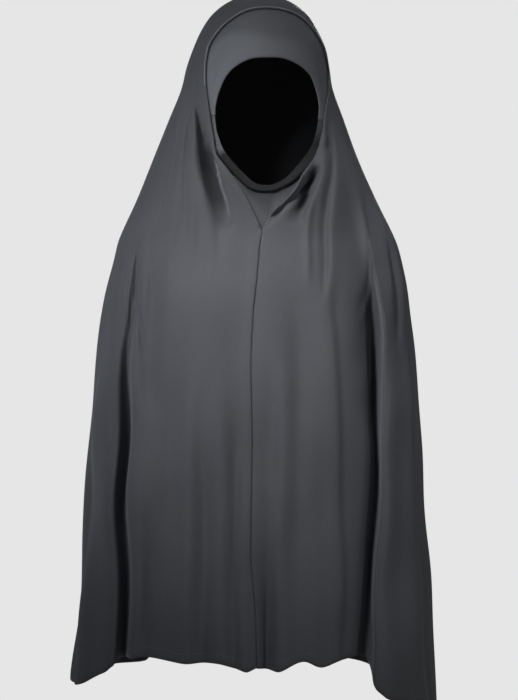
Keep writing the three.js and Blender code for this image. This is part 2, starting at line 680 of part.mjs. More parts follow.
const veilCloth = new THREE.MeshStandardMaterial({ color: 0x505257, roughness: 0.82, metalness: 0 });
const bandCloth = new THREE.MeshStandardMaterial({ color: 0x55575c, roughness: 0.78, metalness: 0 });
const elasticCloth = new THREE.MeshStandardMaterial({ color: 0x34353a, roughness: 0.85, metalness: 0 });
const seamCloth = new THREE.MeshStandardMaterial({ color: 0x45474c, roughness: 0.85, metalness: 0 });

function piece(name, geometry, material) {
  const mesh = new THREE.Mesh(geometry, material);
  mesh.name = name;
  return mesh;
}

const khimar = new THREE.Group();
khimar.add(
  piece('veil', veil(), veilCloth),
  piece('forehead_band', foreheadBand(), bandCloth),
  piece('chin_band', chinBand(), elasticCloth),
  piece('throat_panel', throatPanel(), veilCloth),
  piece('front_seam', frontSeam(), seamCloth),
);

export default khimar;
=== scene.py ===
# %% [markdown]
# # A khimar veil, dressed over its CAD frame
#
# A khimar is one large piece of cloth that covers the head, the shoulders and the arms and leaves the
# face free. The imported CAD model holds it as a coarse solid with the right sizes. This lesson replaces
# that solid with finer cloth: a hood and cape with turned edges, an inner forehead band, an elastic chin
# band, a throat panel, a seam and the sewing thread.
#
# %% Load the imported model
import math

import bmesh
import bpy
import numpy as np
from mathutils import Matrix, Vector


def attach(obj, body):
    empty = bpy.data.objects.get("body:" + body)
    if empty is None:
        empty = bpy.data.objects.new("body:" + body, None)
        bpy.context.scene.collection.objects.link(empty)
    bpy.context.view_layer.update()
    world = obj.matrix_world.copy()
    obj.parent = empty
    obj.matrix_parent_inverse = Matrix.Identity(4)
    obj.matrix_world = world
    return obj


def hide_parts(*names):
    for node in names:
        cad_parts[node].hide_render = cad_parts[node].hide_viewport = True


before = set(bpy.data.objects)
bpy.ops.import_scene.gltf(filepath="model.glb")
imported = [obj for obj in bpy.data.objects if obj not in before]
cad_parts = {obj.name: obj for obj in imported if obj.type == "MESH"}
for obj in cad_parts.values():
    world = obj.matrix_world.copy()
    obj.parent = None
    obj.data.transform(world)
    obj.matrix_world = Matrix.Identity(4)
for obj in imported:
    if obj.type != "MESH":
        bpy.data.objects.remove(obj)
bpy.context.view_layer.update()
print("nodes:", sorted(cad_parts))

# %% [markdown]
# ## The camera
#
# The camera looks straight along +Y from the height of the picture's middle row. A lens could be guessed
# and moved until it fits, but it is simpler to say how many metres one pixel covers at the plane through
# the crown and to work the lens out from that. The picture cuts off the top of the crown by a few pixels,
# and so does this camera.
#
# %% The camera
PICTURE_HEIGHT = 700
METRES_PER_PIXEL = 0.0013
CROWN_ROW = -4
CAMERA_DISTANCE = 2.6
SENSOR_HEIGHT = 24.0

middle_row = PICTURE_HEIGHT / 2
picture_height = PICTURE_HEIGHT * METRES_PER_PIXEL


def placed(name, data):
    """A new object in the scene that shows a mesh, a camera or a lamp."""
    made = bpy.data.objects.new(name, data)
    bpy.context.scene.collection.objects.link(made)
    return made


camera_data = bpy.data.cameras.new("camera")
camera_data.sensor_fit = "VERTICAL"
camera_data.sensor_height = SENSOR_HEIGHT
camera_data.lens = SENSOR_HEIGHT * CAMERA_DISTANCE / picture_height
camera = placed("camera", camera_data)
camera.location = (0, -CAMERA_DISTANCE, -(middle_row - CROWN_ROW) * METRES_PER_PIXEL)
camera.rotation_euler = (math.radians(90), 0, 0)
bpy.context.scene.camera = camera
print("lens:", round(camera_data.lens, 1), "mm, height:", round(camera.location.z, 3))

# %% [markdown]
# ## Tables of the drape
#
# Draped cloth could come from a cloth simulation, but a simulation doesn't hit the folds that one wants.
# Here the cloth is a flat disc with its centre on the crown, and a function hangs each point of the disc
# in space. Sections say how wide and deep the cloth is at each drop from the crown. Lengths are shares of
# a few named sizes, so that the veil can be changed in one place.
#
# %% Sizes in metres
veil_length = 0.926
head_width, head_depth = 0.1865, 0.220
shoulder_width, shoulder_depth = 0.370, 0.256
hem_width, hem_depth = 0.473, 0.356
crown_height = 0.100
frame_width, frame_height, frame_drop = 0.153, 0.284, 0.029
face_width, face_height, face_drop = 0.136, 0.161, 0.095
face_shift = 0.010
cloth_thickness = 0.0010
layer_gap = 0.00135
hem_turn = 0.014
edge_turn = 0.009
edge_lift = 0.012
fold_depth = 0.010
fold_width = 0.010


def table(names, *rows):
    """The columns of a table by name, each as an array."""
    return dict(zip(names.split(), np.array(rows, dtype=float).T))


print("cloth:", cloth_thickness * 1000, "mm thick")

# %% Sections from the crown to the hem
head, shoulder, hem = (head_width, head_depth), (shoulder_width, shoulder_depth), (hem_width, hem_depth)
sections = table(
    "down wide deep left right front back square",
    (0.000, *head, 0.000, 0.000, 0.000, 0.000, 2.00),
    (0.007, *head, 0.176, 0.186, 0.168, 0.177, 2.00),
    (0.027, *head, 0.319, 0.330, 0.309, 0.336, 2.00),
    (0.048, *head, 0.394, 0.399, 0.382, 0.418, 2.00),
    (0.076, *head, 0.457, 0.463, 0.432, 0.482, 2.05),
    (0.104, *head, 0.505, 0.489, 0.459, 0.514, 2.05),
    (0.132, *head, 0.537, 0.511, 0.473, 0.527, 2.10),
    (0.174, *head, 0.622, 0.585, 0.477, 0.527, 2.10),
    (0.230, *shoulder, 0.370, 0.346, 0.418, 0.445, 2.10),
    (0.286, *shoulder, 0.426, 0.408, 0.438, 0.441, 2.15),
    (0.342, *shoulder, 0.488, 0.475, 0.484, 0.457, 2.30),
    (0.370, *shoulder, 0.504, 0.496, 0.523, 0.477, 2.35),
    (0.427, *shoulder, 0.536, 0.523, 0.594, 0.523, 2.40),
    (0.539, *hem, 0.447, 0.429, 0.472, 0.410, 2.45),
    (0.651, *hem, 0.462, 0.439, 0.483, 0.427, 2.50),
    (0.763, *hem, 0.473, 0.450, 0.492, 0.444, 2.50),
    (0.876, *hem, 0.492, 0.464, 0.503, 0.463, 2.50),
    (1.000, *hem, 0.519, 0.481, 0.517, 0.483, 2.50),
)
print("sections:", len(sections["down"]))

# %% [markdown]
# The outer cloth frames the face with an edge that starts at the point of a V under the chin, runs up one
# side, over the forehead, and down the other side. Inside it lies the face opening, a closed oval. Both
# are given as they look from the front, as shares of half their width and of their height.
#
# %% The two edges around the face
frame_edge = table(
    "across down",
    (-0.09, 1.000), (0.11, 0.905), (0.26, 0.873), (0.435, 0.818), (0.61, 0.757), (0.77, 0.700),
    (0.88, 0.645), (0.925, 0.540), (0.98, 0.420), (1.03, 0.330), (1.04, 0.250), (0.98, 0.175),
    (0.83, 0.095), (0.61, 0.037), (0.31, 0.005), (-0.02, -0.002), (-0.32, 0.011), (-0.56, 0.046),
    (-0.81, 0.107), (-0.95, 0.170), (-1.00, 0.280), (-0.98, 0.370), (-0.935, 0.450), (-0.89, 0.540),
    (-0.87, 0.605), (-0.81, 0.652), (-0.70, 0.697), (-0.51, 0.772), (-0.355, 0.842), (-0.215, 0.915),
    (-0.09, 1.000),
)
face_edge = table(
    "across down",
    (-0.02, 0.990), (0.14, 0.980), (0.37, 0.924), (0.61, 0.811), (0.755, 0.732), (0.855, 0.662),
    (0.92, 0.580), (0.97, 0.490), (0.995, 0.400), (0.985, 0.318), (0.94, 0.235), (0.85, 0.135),
    (0.69, 0.068), (0.50, 0.026), (0.30, 0.000), (0.00, -0.003), (-0.30, 0.008), (-0.50, 0.043),
    (-0.66, 0.090), (-0.78, 0.150), (-0.87, 0.227), (-0.935, 0.303), (-0.975, 0.400), (-0.955, 0.520),
    (-0.91, 0.600), (-0.80, 0.715), (-0.56, 0.842), (-0.32, 0.942), (-0.18, 0.980), (-0.02, 0.990),
)
print("edge points:", len(frame_edge["down"]), "and", len(face_edge["down"]))

# %% The hem, and three lines that wander
hem_line = table(
    "azimuth down",
    (-180, 0.937), (-135, 0.950), (-104, 0.962), (-88, 0.962), (-70, 0.951), (-58, 0.928),
    (-48, 0.908), (-40, 0.903), (-28, 0.908), (-14, 0.908), (-4, 0.918), (0, 0.914),
    (8, 0.918), (17, 0.905), (24, 0.913), (31, 0.906), (38, 0.908), (41, 0.937),
    (44, 0.950), (50, 0.962), (60, 0.974), (74, 0.985), (92, 0.998), (112, 0.988),
    (140, 0.955), (180, 0.937),
)
guides = table("home spread", (0, 24), (-50.5, 20), (39, 20))
guide_run = table(
    "down seam left_arm right_arm",
    (0.33, 2.0, -59.0, 52.5),
    (0.36, 0.2, -58.6, 52.0),
    (0.40, -1.0, -58.0, 51.0),
    (0.44, -2.5, -57.4, 50.1),
    (0.48, -3.2, -56.8, 49.2),
    (0.52, -3.5, -56.2, 48.3),
    (0.56, -3.1, -55.7, 47.4),
    (0.61, -2.8, -55.0, 46.3),
    (0.77, -3.2, -52.7, 42.7),
    (0.85, -1.2, -51.5, 40.9),
    (1.00, -0.6, -49.4, 37.5),
)
guide_names = ("seam", "left_arm", "right_arm")
print("hem points:", len(hem_line["down"]))

# %% [markdown]
# ## Folds
#
# A hanging cloth falls in soft waves from where it is held, and in short sharp creases beside the face and
# over the arms. They could be sculpted by hand, but rows of a table can be set against the photo and
# changed one at a time. Each fold runs from one drop and azimuth to another. Depth is a share of the fold
# depth, outwards positive. Low and high are its half widths towards smaller and larger azimuths, so a fold
# can have one soft flank and one sharp flank. Fade is the drop over which it comes and goes, and crest says
# how round it is: 2 is a soft wave, less is a crease, and more has a flat top and steep flanks. Aim says
# which way the cloth is pushed: 0 is away from the upright axis, and 1 is towards the viewer, which keeps
# the folds at the sides steep. A little less or more than 1 lets the front panel hang over the arms' drape.
#
# %% The folds
folds = table(
    "top bottom start end depth low high fade crest aim",
    # Arm folds, where the front panel hangs over the drape of the arms.
    (0.37, 1.20, -55.4, -45.8, -4.6, 0.85, 0.75, 0.27, 2.4, 0.9),
    (0.36, 1.20, 52.3, 32.5, -4.8, 1.10, 0.60, 0.17, 2.2, 1.1),
    (0.42, 1.20, -63.5, -54.0, 0.9, 1.60, 1.20, 0.20, 2.0, 1.0),
    (0.42, 1.20, 57.5, 42.0, 1.0, 1.20, 1.70, 0.20, 2.0, 1.0),
    (0.38, 1.20, 49.0, 29.5, -1.4, 2.00, 1.00, 0.14, 2.0, 1.0),
    (0.38, 0.64, 50.0, 44.0, -1.5, 2.20, 0.80, 0.08, 2.0, 1.0),
    (0.36, 0.66, -58.0, -50.0, -0.9, 2.40, 0.90, 0.12, 2.0, 1.0),
    (0.36, 0.60, -47.5, -41.0, -1.2, 1.50, 1.20, 0.07, 2.0, 1.0),
    # Creases over the upper arms.
    (0.36, 0.60, -63.0, -46.0, 0.5, 1.20, 0.30, 0.05, 1.7, 1.0),
    (0.33, 0.52, -63.5, -44.5, -0.9, 0.50, 0.50, 0.05, 2.0, 1.0),
    (0.31, 0.43, -60.3, -46.0, -0.4, 0.45, 0.45, 0.04, 1.8, 1.0),
    (0.33, 0.50, -70.0, -57.0, -0.4, 0.80, 0.90, 0.06, 1.8, 0.0),
    (0.33, 0.46, 60.0, 40.5, -0.45, 0.45, 0.50, 0.04, 1.8, 1.0),
    (0.37, 0.48, 56.0, 42.7, -0.35, 0.40, 0.45, 0.035, 1.8, 1.0),
    (0.32, 0.46, 64.0, 52.0, 0.6, 0.80, 0.90, 0.06, 1.8, 1.0),
    (0.33, 0.50, 72.0, 61.0, -0.5, 0.80, 0.90, 0.06, 1.8, 0.0),
    # Soft folds that fall from the bust to the hem, and one thin crease that crosses them.
    (0.68, 1.20, -40.5, -41.5, -0.9, 1.30, 1.30, 0.12, 2.0, 1.0),
    (0.60, 1.20, -45.5, -45.0, 0.6, 1.10, 1.10, 0.14, 2.0, 1.0),
    (0.50, 0.84, -33.5, -35.0, -0.5, 1.90, 1.90, 0.10, 2.0, 1.0),
    (0.46, 1.20, -28.5, -26.0, 0.7, 1.50, 1.40, 0.16, 2.0, 1.0),
    (0.52, 1.20, -22.4, -20.0, -0.7, 1.10, 1.00, 0.16, 1.8, 1.0),
    (0.50, 1.20, -15.0, -13.4, 0.5, 1.20, 1.20, 0.16, 1.8, 1.0),
    (0.56, 1.10, -10.2, -9.0, -0.5, 0.80, 0.80, 0.14, 1.8, 1.0),
    (0.60, 1.20, -6.4, -5.6, 0.35, 0.80, 0.70, 0.14, 1.8, 1.0),
    (0.74, 1.20, 2.6, 2.6, -1.2, 0.60, 1.10, 0.12, 1.6, 1.0),
    (0.48, 1.20, 5.0, 4.2, -0.5, 1.30, 1.00, 0.16, 2.0, 1.0),
    (0.70, 1.20, 6.6, 6.2, 0.5, 0.80, 0.80, 0.14, 1.8, 1.0),
    (0.42, 1.20, 10.2, 9.2, 0.4, 1.30, 1.30, 0.16, 2.0, 1.0),
    (0.40, 0.80, 17.2, 15.6, -0.3, 1.10, 1.30, 0.16, 2.0, 1.0),
    (0.52, 1.20, 21.0, 20.6, 0.3, 1.20, 1.20, 0.16, 2.0, 1.0),
    (0.36, 1.20, 31.5, 29.5, 0.9, 2.20, 0.50, 0.14, 2.0, 1.0),
    (0.535, 0.595, -16.3, -28.5, -0.12, 0.14, 0.14, 0.02, 1.4, 1.0),
    # The right cheek: two pockets under the edge, a roll along it, and soft folds below.
    (0.19, 0.335, 42.8, 20.5, -3.2, 0.95, 0.50, 0.045, 2.2, 1.0),
    (0.255, 0.345, 35.5, -3.5, -1.6, 0.30, 0.45, 0.020, 2.2, 1.0),
    (0.195, 0.34, 49.2, -3.8, 0.9, 0.60, 0.42, 0.05, 2.0, 1.0),
    (0.15, 0.33, 56.0, 34.5, -0.9, 0.50, 0.50, 0.08, 1.8, 1.0),
    (0.25, 0.44, 41.2, 28.4, -0.9, 0.50, 0.60, 0.06, 2.0, 1.0),
    (0.25, 0.47, 47.2, 27.0, 0.7, 0.90, 1.00, 0.08, 2.0, 1.0),
    (0.24, 0.56, 54.5, 41.0, -2.0, 1.60, 2.00, 0.10, 2.0, 1.0),
    (0.24, 0.56, 62.0, 48.0, 0.2, 1.10, 1.20, 0.09, 2.0, 1.0),
    (0.26, 0.46, 68.0, 53.0, -0.5, 1.00, 1.20, 0.08, 2.0, 0.0),
    (0.26, 0.42, 31.5, 22.0, 0.5, 0.50, 0.45, 0.05, 2.0, 1.0),
    # The left cheek: a roll and a slit beside the edge, a crest and a deep pocket, and soft folds below.
    (0.115, 0.24, -54.4, -24.4, 0.45, 0.45, 0.24, 0.03, 1.8, 1.0),
    (0.13, 0.22, -48.6, -28.7, -0.45, 0.22, 0.22, 0.02, 1.8, 1.0),
    (0.12, 0.31, -44.0, -12.0, 0.8, 1.20, 1.00, 0.06, 2.0, 1.0),
    (0.13, 0.34, -44.2, -15.4, -5.5, 1.00, 0.50, 0.05, 2.2, 1.0),
    (0.21, 0.35, -33.5, -18.0, -1.4, 0.90, 0.60, 0.05, 2.0, 1.0),
    (0.25, 0.345, -23.4, 1.1, -0.13, 0.25, 0.25, 0.03, 1.6, 1.0),
    (0.14, 0.40, -48.5, -33.0, 0.55, 0.80, 0.70, 0.08, 2.0, 1.0),
    (0.15, 0.36, -51.0, -37.5, -0.55, 0.45, 0.60, 0.06, 1.8, 1.0),
    (0.14, 0.42, -57.0, -42.0, 0.6, 0.90, 0.90, 0.08, 2.0, 1.0),
    (0.15, 0.36, -68.0, -54.0, -0.7, 0.90, 0.90, 0.07, 2.0, 0.0),
    (0.28, 0.40, -26.0, -19.0, -0.3, 0.60, 0.70, 0.05, 1.8, 1.0),
    # Folds behind the arms and down the back.
    (0.36, 1.20, -122.0, -128.0, -2.0, 2.00, 1.60, 0.20, 2.2, 0.0),
    (0.36, 1.20, 120.0, 127.0, -2.0, 1.60, 2.00, 0.20, 2.2, 0.0),
    (0.40, 1.20, -95.0, -99.0, 0.5, 2.40, 2.40, 0.24, 2.0, 0.0),
    (0.44, 1.20, -80.0, -84.0, -0.4, 1.80, 1.80, 0.24, 2.0, 0.0),
    (0.42, 1.20, 86.0, 92.0, 0.5, 2.40, 2.40, 0.24, 2.0, 0.0),
    (0.46, 1.20, 72.0, 75.0, -0.45, 1.60, 1.60, 0.24, 2.0, 0.0),
    (0.30, 1.20, -144.0, -149.0, 0.9, 1.70, 1.50, 0.22, 1.8, 0.0),
    (0.22, 1.20, -158.0, -163.0, -1.0, 1.40, 1.40, 0.22, 1.8, 0.0),
    (0.26, 1.20, -171.0, -175.0, 0.8, 1.40, 1.40, 0.22, 1.8, 0.0),
    (0.24, 1.20, 174.0, 172.0, -0.8, 1.30, 1.30, 0.22, 1.8, 0.0),
    (0.28, 1.20, 158.0, 160.0, 1.0, 1.50, 1.70, 0.22, 1.8, 0.0),
    (0.32, 1.20, 142.0, 146.0, -0.8, 1.40, 1.40, 0.22, 1.8, 0.0),
)
print("folds:", len(folds["top"]))

# %% [markdown]
# ## The drape
#
# A point of the disc is a reach, the distance from the crown along the cloth, and an azimuth. The reach
# follows a quarter circle over the dome of the head and then goes straight down. Each section is a
# superellipse, a rounded shape between an ellipse and a box. NumPy works on all points at once, which is
# much faster than a loop.
#
# %% Curves through tables


def straight(rows, key, column, values):
    """The column's value where the key has these values, in straight lines."""
    return np.interp(values, rows[key], rows[column])


def smooth(rows, key, column, values):
    """The same on a smooth curve, with the slope at a row taken from its neighbours."""
    x, y = rows[key], rows[column]
    slope = np.empty_like(y)
    slope[1:-1] = (y[2:] - y[:-2]) / (x[2:] - x[:-2])
    slope[0] = (y[1] - y[0]) / (x[1] - x[0])
    slope[-1] = (y[-1] - y[-2]) / (x[-1] - x[-2])
    inside = np.clip(values, x[0], x[-1])
    i = np.clip(np.searchsorted(x, inside, side="right"), 1, len(x) - 1)
    gap = x[i] - x[i - 1]
    t = (inside - x[i - 1]) / gap
    start = y[i - 1] * (2 * t**3 - 3 * t**2 + 1) + gap * slope[i - 1] * (t**3 - 2 * t**2 + t)
    return start + y[i] * (3 * t**2 - 2 * t**3) + gap * slope[i] * (t**3 - t**2)


def ease(low, high, values):
    """0 below low, 1 above high, and a soft step between."""
    t = np.clip((values - low) / (high - low), 0, 1)
    return t * t * (3 - 2 * t)


print("half way down, the left side's share of the width:", smooth(sections, "down", "left", 0.5).round(3))

# %% Reach, drop and the plain form
dome_arc = crown_height * math.pi / 2


def reach_of(drop):
    """How far along the cloth a drop below the crown is."""
    drop = np.asarray(drop, dtype=float)
    over_dome = crown_height * np.arccos(np.clip(1 - drop / crown_height, -1, 1))
    return np.where(drop < crown_height, over_dome, dome_arc + drop - crown_height)


def drop_of(reach):
    """The drop below the crown at some reach."""
    over_dome = crown_height * (1 - np.cos(np.clip(reach, 0, dome_arc) / crown_height))
    return np.where(reach < dome_arc, over_dome, crown_height + reach - dome_arc)


sections["reach"] = reach_of(sections["down"] * veil_length)
for side in ("left", "right"):
    sections[side] = sections[side] * sections["wide"]
for side in ("front", "back"):
    sections[side] = sections[side] * sections["deep"]
LEAST_SIDE = 1e-9


def form_radius(reach, azimuth):
    """The plain form's distance from the upright axis, without folds."""
    sine, cosine = np.sin(np.radians(azimuth)), np.cos(np.radians(azimuth))
    left, right, front, back, square = (
        smooth(sections, "reach", name, reach) for name in ("left", "right", "front", "back", "square")
    )
    half = np.maximum(np.where(sine > 0, right, left), LEAST_SIDE)
    depth = np.maximum(np.where(cosine > 0, front, back), LEAST_SIDE)
    return (np.abs(sine / half) ** square + np.abs(cosine / depth) ** square) ** (-1 / square)


print("radius at the left arm:", form_radius(reach_of(0.5), -90.0).round(3))

# %% [markdown]
# ## What the outer cloth adds
#
# On the real veil the front seam and the folds at the arms aren't straight, so the azimuths of the disc
# wander a little on the way down. Over the plain form come the folds, the edge that stands off the cheeks,
# the groove of the seam and small ripples. Displacement textures could add them, but plain functions of
# drop and azimuth can be added up, and the inner pieces can do without them. A guard keeps the cloth beside
# the face from sinking into the bands under it.
#
# %% Wandering and folds
WANDER_START, WANDER_FULL = 0.2, 0.33
FOLD_SWAY = 0.3  # degrees by which the fold lines waver
SWAY_START, SWAY_FULL = 0.4, 0.6
SLOW_WAVE, QUICK_WAVE = (19, 0.11), (31, -0.23)  # turns with the drop and with the azimuth


def wander(down, azimuth):
    """How far the cloth at a disc azimuth has wandered sideways, in degrees."""
    total = np.zeros_like(azimuth)
    for name, home, spread in zip(guide_names, guides["home"], guides["spread"]):
        shift = straight(guide_run, "down", name, down) - home
        total += shift * np.exp(-(((azimuth - home) / spread) ** 2))
    return total * ease(WANDER_START, WANDER_FULL, down)


def fold_offsets(down, azimuth, radius):
    """The folds' height over the plain form, and how far they go sideways."""
    slow, quick = (np.sin(down * drops + azimuth * turns) for drops, turns in (SLOW_WAVE, QUICK_WAVE))
    sway = FOLD_SWAY * (slow + quick / 2) * ease(SWAY_START, SWAY_FULL, down)
    height, aslant = np.zeros_like(azimuth), np.zeros_like(azimuth)
    for top, bottom, start, end, depth, low, high, fade, crest, aim in zip(*folds.values()):
        run = (down - top) / (bottom - top)
        aside = azimuth + sway - (start + run * (end - start))
        aside = np.radians(aside - 360 * np.round(aside / 360)) * radius
        width = np.where(aside < 0, low, high) * fold_width
        strength = ease(top, top + fade, down) * (1 - ease(bottom - fade, bottom, down))
        push = depth * fold_depth * strength * np.exp(-(np.abs(aside / width) ** crest))
        turn = np.radians(azimuth) * aim
        height += push * np.cos(turn)
        aslant -= push * np.sin(turn)
    return height, aslant


print("fold lines waver by", FOLD_SWAY, "degrees")

# %% The lifted edge, the seam and small ripples
LIFT_TOP, LIFT_BOTTOM, LIFT_LEFT, LIFT_RIGHT = 0.165, 0.355, 66, 84
SEAM_START, SEAM_FADE = 0.326, 0.03
SEAM_DEPTH, SEAM_WIDTH = 0.0026, 0.0009
SEAM_RIDGE, RIDGE_ASIDE, RIDGE_WIDTH = 0.0008, 0.0062, 0.0046
RIPPLES, RIPPLE_HEIGHT = 14, 0.0006
RIPPLE_START, RIPPLE_FULL = 0.3, 0.5
ripple = np.random.default_rng(11)
ripple_across = ripple.uniform(5, 17, RIPPLES).round()
ripple_down = ripple.uniform(-7, 7, RIPPLES)
ripple_phase = ripple.uniform(0, 2 * math.pi, RIPPLES)


def lift_offset(down, azimuth):
    """How far the cloth's edge stands off the cheeks."""
    run = np.clip((down - LIFT_TOP) / (LIFT_BOTTOM - LIFT_TOP), 0, 1)
    settled = np.where(azimuth > 0, LIFT_RIGHT, LIFT_LEFT)
    return edge_lift * np.sin(math.pi * run) ** 2 * (1 - ease(settled / 3, settled, np.abs(azimuth)))


def seam_offset(down, aside):
    """A groove along the front seam, and the ridge of the seam allowance on its left."""
    groove = -SEAM_DEPTH * np.exp(-((aside / SEAM_WIDTH) ** 2))
    ridge = SEAM_RIDGE * np.exp(-(((aside + RIDGE_ASIDE) / RIDGE_WIDTH) ** 4))
    return (groove + ridge) * ease(SEAM_START, SEAM_START + SEAM_FADE, down)


def ripple_offset(down, azimuth):
    """Small uneven ripples, as in any hanging cloth. They fade near the face."""
    total = np.zeros_like(azimuth)
    for across, along, phase in zip(ripple_across, ripple_down, ripple_phase):
        total += np.sin(np.radians(azimuth) * across + along * down * 2 * math.pi + phase)
    return RIPPLE_HEIGHT * total * ease(RIPPLE_START, RIPPLE_FULL, down)


print("ripples:", RIPPLES)

# %% All that the outer cloth adds
GUARD_END, GUARD_FADE, GUARD_ASIDE = 0.34, 0.03, 3
GUARD_SOFTNESS = 0.0008
band_reach = table(
    "down left right",
    (0.050, 46, 75), (0.080, 52, 82), (0.100, 52, 86), (0.130, 50, 80), (0.160, 45, 65),
    (0.180, 40.5, 57), (0.225, 31, 43.5), (0.240, 27.2, 38), (0.255, 22.5, 31), (0.270, 19.2, 24.5),
    (0.285, 15.6, 21), (0.300, 12.5, 16.5), (0.320, 8.5, 9), (0.340, 6, 6),
)


def cloth_offsets(down, azimuth, radius):
    """What the outer cloth adds to the plain form. Over the bands it never sinks below that form."""
    height, aslant = fold_offsets(down, azimuth, radius)
    total = lift_offset(down, azimuth) + height + ripple_offset(down, azimuth)
    floored = (total + np.hypot(total, GUARD_SOFTNESS) - GUARD_SOFTNESS) / 2
    inner = straight(band_reach, "down", "left", down) * (azimuth < 0)
    inner = inner + straight(band_reach, "down", "right", down) * (azimuth >= 0)
    above = 1 - ease(GUARD_END, GUARD_END + GUARD_FADE, down)
    guarded = above * (1 - ease(inner, inner + GUARD_ASIDE, np.abs(azimuth)))
    return total + guarded * (floored - total), aslant * (1 - guarded)


print("the bands are guarded down to", GUARD_END, "of the length")

# %% The drape and its normal
LEAST_RADIUS = 0.02


def disc(reach, azimuth):
    """Points of the disc from reach and azimuth, with the front at -Y."""
    angle = np.radians(azimuth)
    return np.stack([reach * np.sin(angle), -reach * np.cos(angle)], axis=-1)


def drape(points, outer):
    """Where points of the disc hang. The outer cloth has folds, and the inner pieces have none."""
    reach = np.hypot(points[..., 0], points[..., 1])
    drop = drop_of(reach)
    down = drop / veil_length
    home = np.degrees(np.arctan2(points[..., 0], -points[..., 1]))
    azimuth = home + wander(down, home)
    radius = form_radius(reach, azimuth)
    if outer:
        height, aslant = cloth_offsets(down, azimuth, radius)
        height = height + seam_offset(down, np.radians(home) * radius)
        azimuth = azimuth + np.degrees(aslant / np.maximum(radius, LEAST_RADIUS))
        radius = form_radius(reach, azimuth) + height
    angle = np.radians(azimuth)
    return np.stack([radius * np.sin(angle), -radius * np.cos(angle), -drop], axis=-1)


def slopes(points, outer, step=0.0004):
    """How far the place moves for a metre of the disc, along each of its two axes."""
    across = np.array([step, 0.0])
    along = np.array([0.0, step])
    return (
        (drape(points + across, outer) - drape(points - across, outer)) / (2 * step),
        (drape(points + along, outer) - drape(points - along, outer)) / (2 * step),
    )


def unit(vectors):
    """The same vectors with length 1."""
    return vectors / np.linalg.norm(vectors, axis=-1, keepdims=True)


def raised(points, height, outer):
    """Places at some height over the drape."""
    across, along = slopes(points, outer)
    return drape(points, outer) + unit(np.cross(across, along)) * np.asarray(height)[..., None]


front_hem = smooth(hem_line, "azimuth", "down", 0.0) * veil_length
print("the hem's front middle hangs at", drape(disc(reach_of(front_hem), 0.0), True).round(3))

# %% [markdown]
# ## Edge lines
#
# An edge is drawn as it looks from the front, so each of its points is first carried to the disc. A
# formula for that would be hard to find, so the azimuth is found by halving, as the form's width grows
# steadily with it. Then a smooth line runs through the points. To go sideways from an edge by real
# millimetres, the slopes of the drape turn a direction in space into one on the disc.
#
# %% Edge lines
LINE_SAMPLES = 1600
WIDEST_AZIMUTH, HALVINGS, WANDER_ROUNDS = 89.0, 40, 30


def disc_at(x, drop, lifted):
    """The disc point that hangs at x and drop, seen from the front."""
    reach, down = reach_of(drop), drop / veil_length
    low, high = np.full_like(x, -WIDEST_AZIMUTH), np.full_like(x, WIDEST_AZIMUTH)
    for _ in range(HALVINGS):
        middle = (low + high) / 2
        radius = form_radius(reach, middle) + (lift_offset(down, middle) if lifted else 0)
        short = radius * np.sin(np.radians(middle)) < x
        low, high = np.where(short, middle, low), np.where(short, high, middle)
    azimuth = low.copy()
    for _ in range(WANDER_ROUNDS):
        azimuth += (low - wander(down, azimuth) - azimuth) / 2
    return disc(reach, azimuth)


def edge_line(rows, width, height, drop, closed, lifted):
    """A smooth line on the disc through an edge's points, evenly spaced along its length."""
    points = disc_at(face_shift + rows["across"] * width / 2, drop + rows["down"] * height, lifted)
    if closed:
        points = np.concatenate([points[-4:-1], points, points[1:4]])
    steps = np.sqrt(np.linalg.norm(np.diff(points, axis=0), axis=1))
    knots = np.concatenate([[0], np.cumsum(steps)])
    first, last = (knots[3], knots[-4]) if closed else (knots[0], knots[-1])
    rows_by_knot = {"knot": knots, "x": points[:, 0], "y": points[:, 1]}
    fine = np.linspace(first, last, LINE_SAMPLES)
    line = np.stack([smooth(rows_by_knot, "knot", name, fine) for name in ("x", "y")], axis=-1)
    length = np.concatenate([[0], np.cumsum(np.linalg.norm(np.diff(line, axis=0), axis=1))])
    even = np.linspace(0, length[-1], LINE_SAMPLES)
    line = np.stack([np.interp(even, length, line[:, axis]) for axis in (0, 1)], axis=-1)
    return {"closed": closed, "line": line, "share": even / length[-1]}


print("points of an edge line:", LINE_SAMPLES)

# %% Places on an edge and beside it


def on_edge(edge, share):
    """The edge's point at a share of its length."""
    share = share % 1 if edge["closed"] else np.clip(share, 0, 1)
    return np.stack([np.interp(share, edge["share"], edge["line"][:, axis]) for axis in (0, 1)], axis=-1)


def beside_edge(edge, share, outwards):
    """The edge's point moved away from the face by some metres of cloth."""
    share = np.asarray(share, dtype=float)
    start = on_edge(edge, share)
    step = 0.002
    if edge["closed"]:
        tangent = on_edge(edge, share + step) - on_edge(edge, share - step)
    else:
        tangent = on_edge(edge, np.minimum(share + step, 1)) - on_edge(edge, np.maximum(share - step, 0))
    across, along = slopes(start, False)
    run = across * tangent[..., :1] + along * tangent[..., 1:]
    away = unit(np.cross(run, np.cross(across, along))) * np.asarray(outwards)[..., None]
    aa, ab, bb = (across * across).sum(-1), (across * along).sum(-1), (along * along).sum(-1)
    xa, ya = (away * across).sum(-1), (away * along).sum(-1)
    size = aa * bb - ab * ab
    return start + np.stack([(xa * bb - ya * ab) / size, (ya * aa - xa * ab) / size], axis=-1)


frame_line = edge_line(frame_edge, frame_width, frame_height, frame_drop, closed=False, lifted=True)
face_line = edge_line(face_edge, face_width, face_height, face_drop, closed=True, lifted=False)
face_loop = drape(face_line["line"], False)
print("face opening from", face_loop.min(axis=0).round(3), "to", face_loop.max(axis=0).round(3))
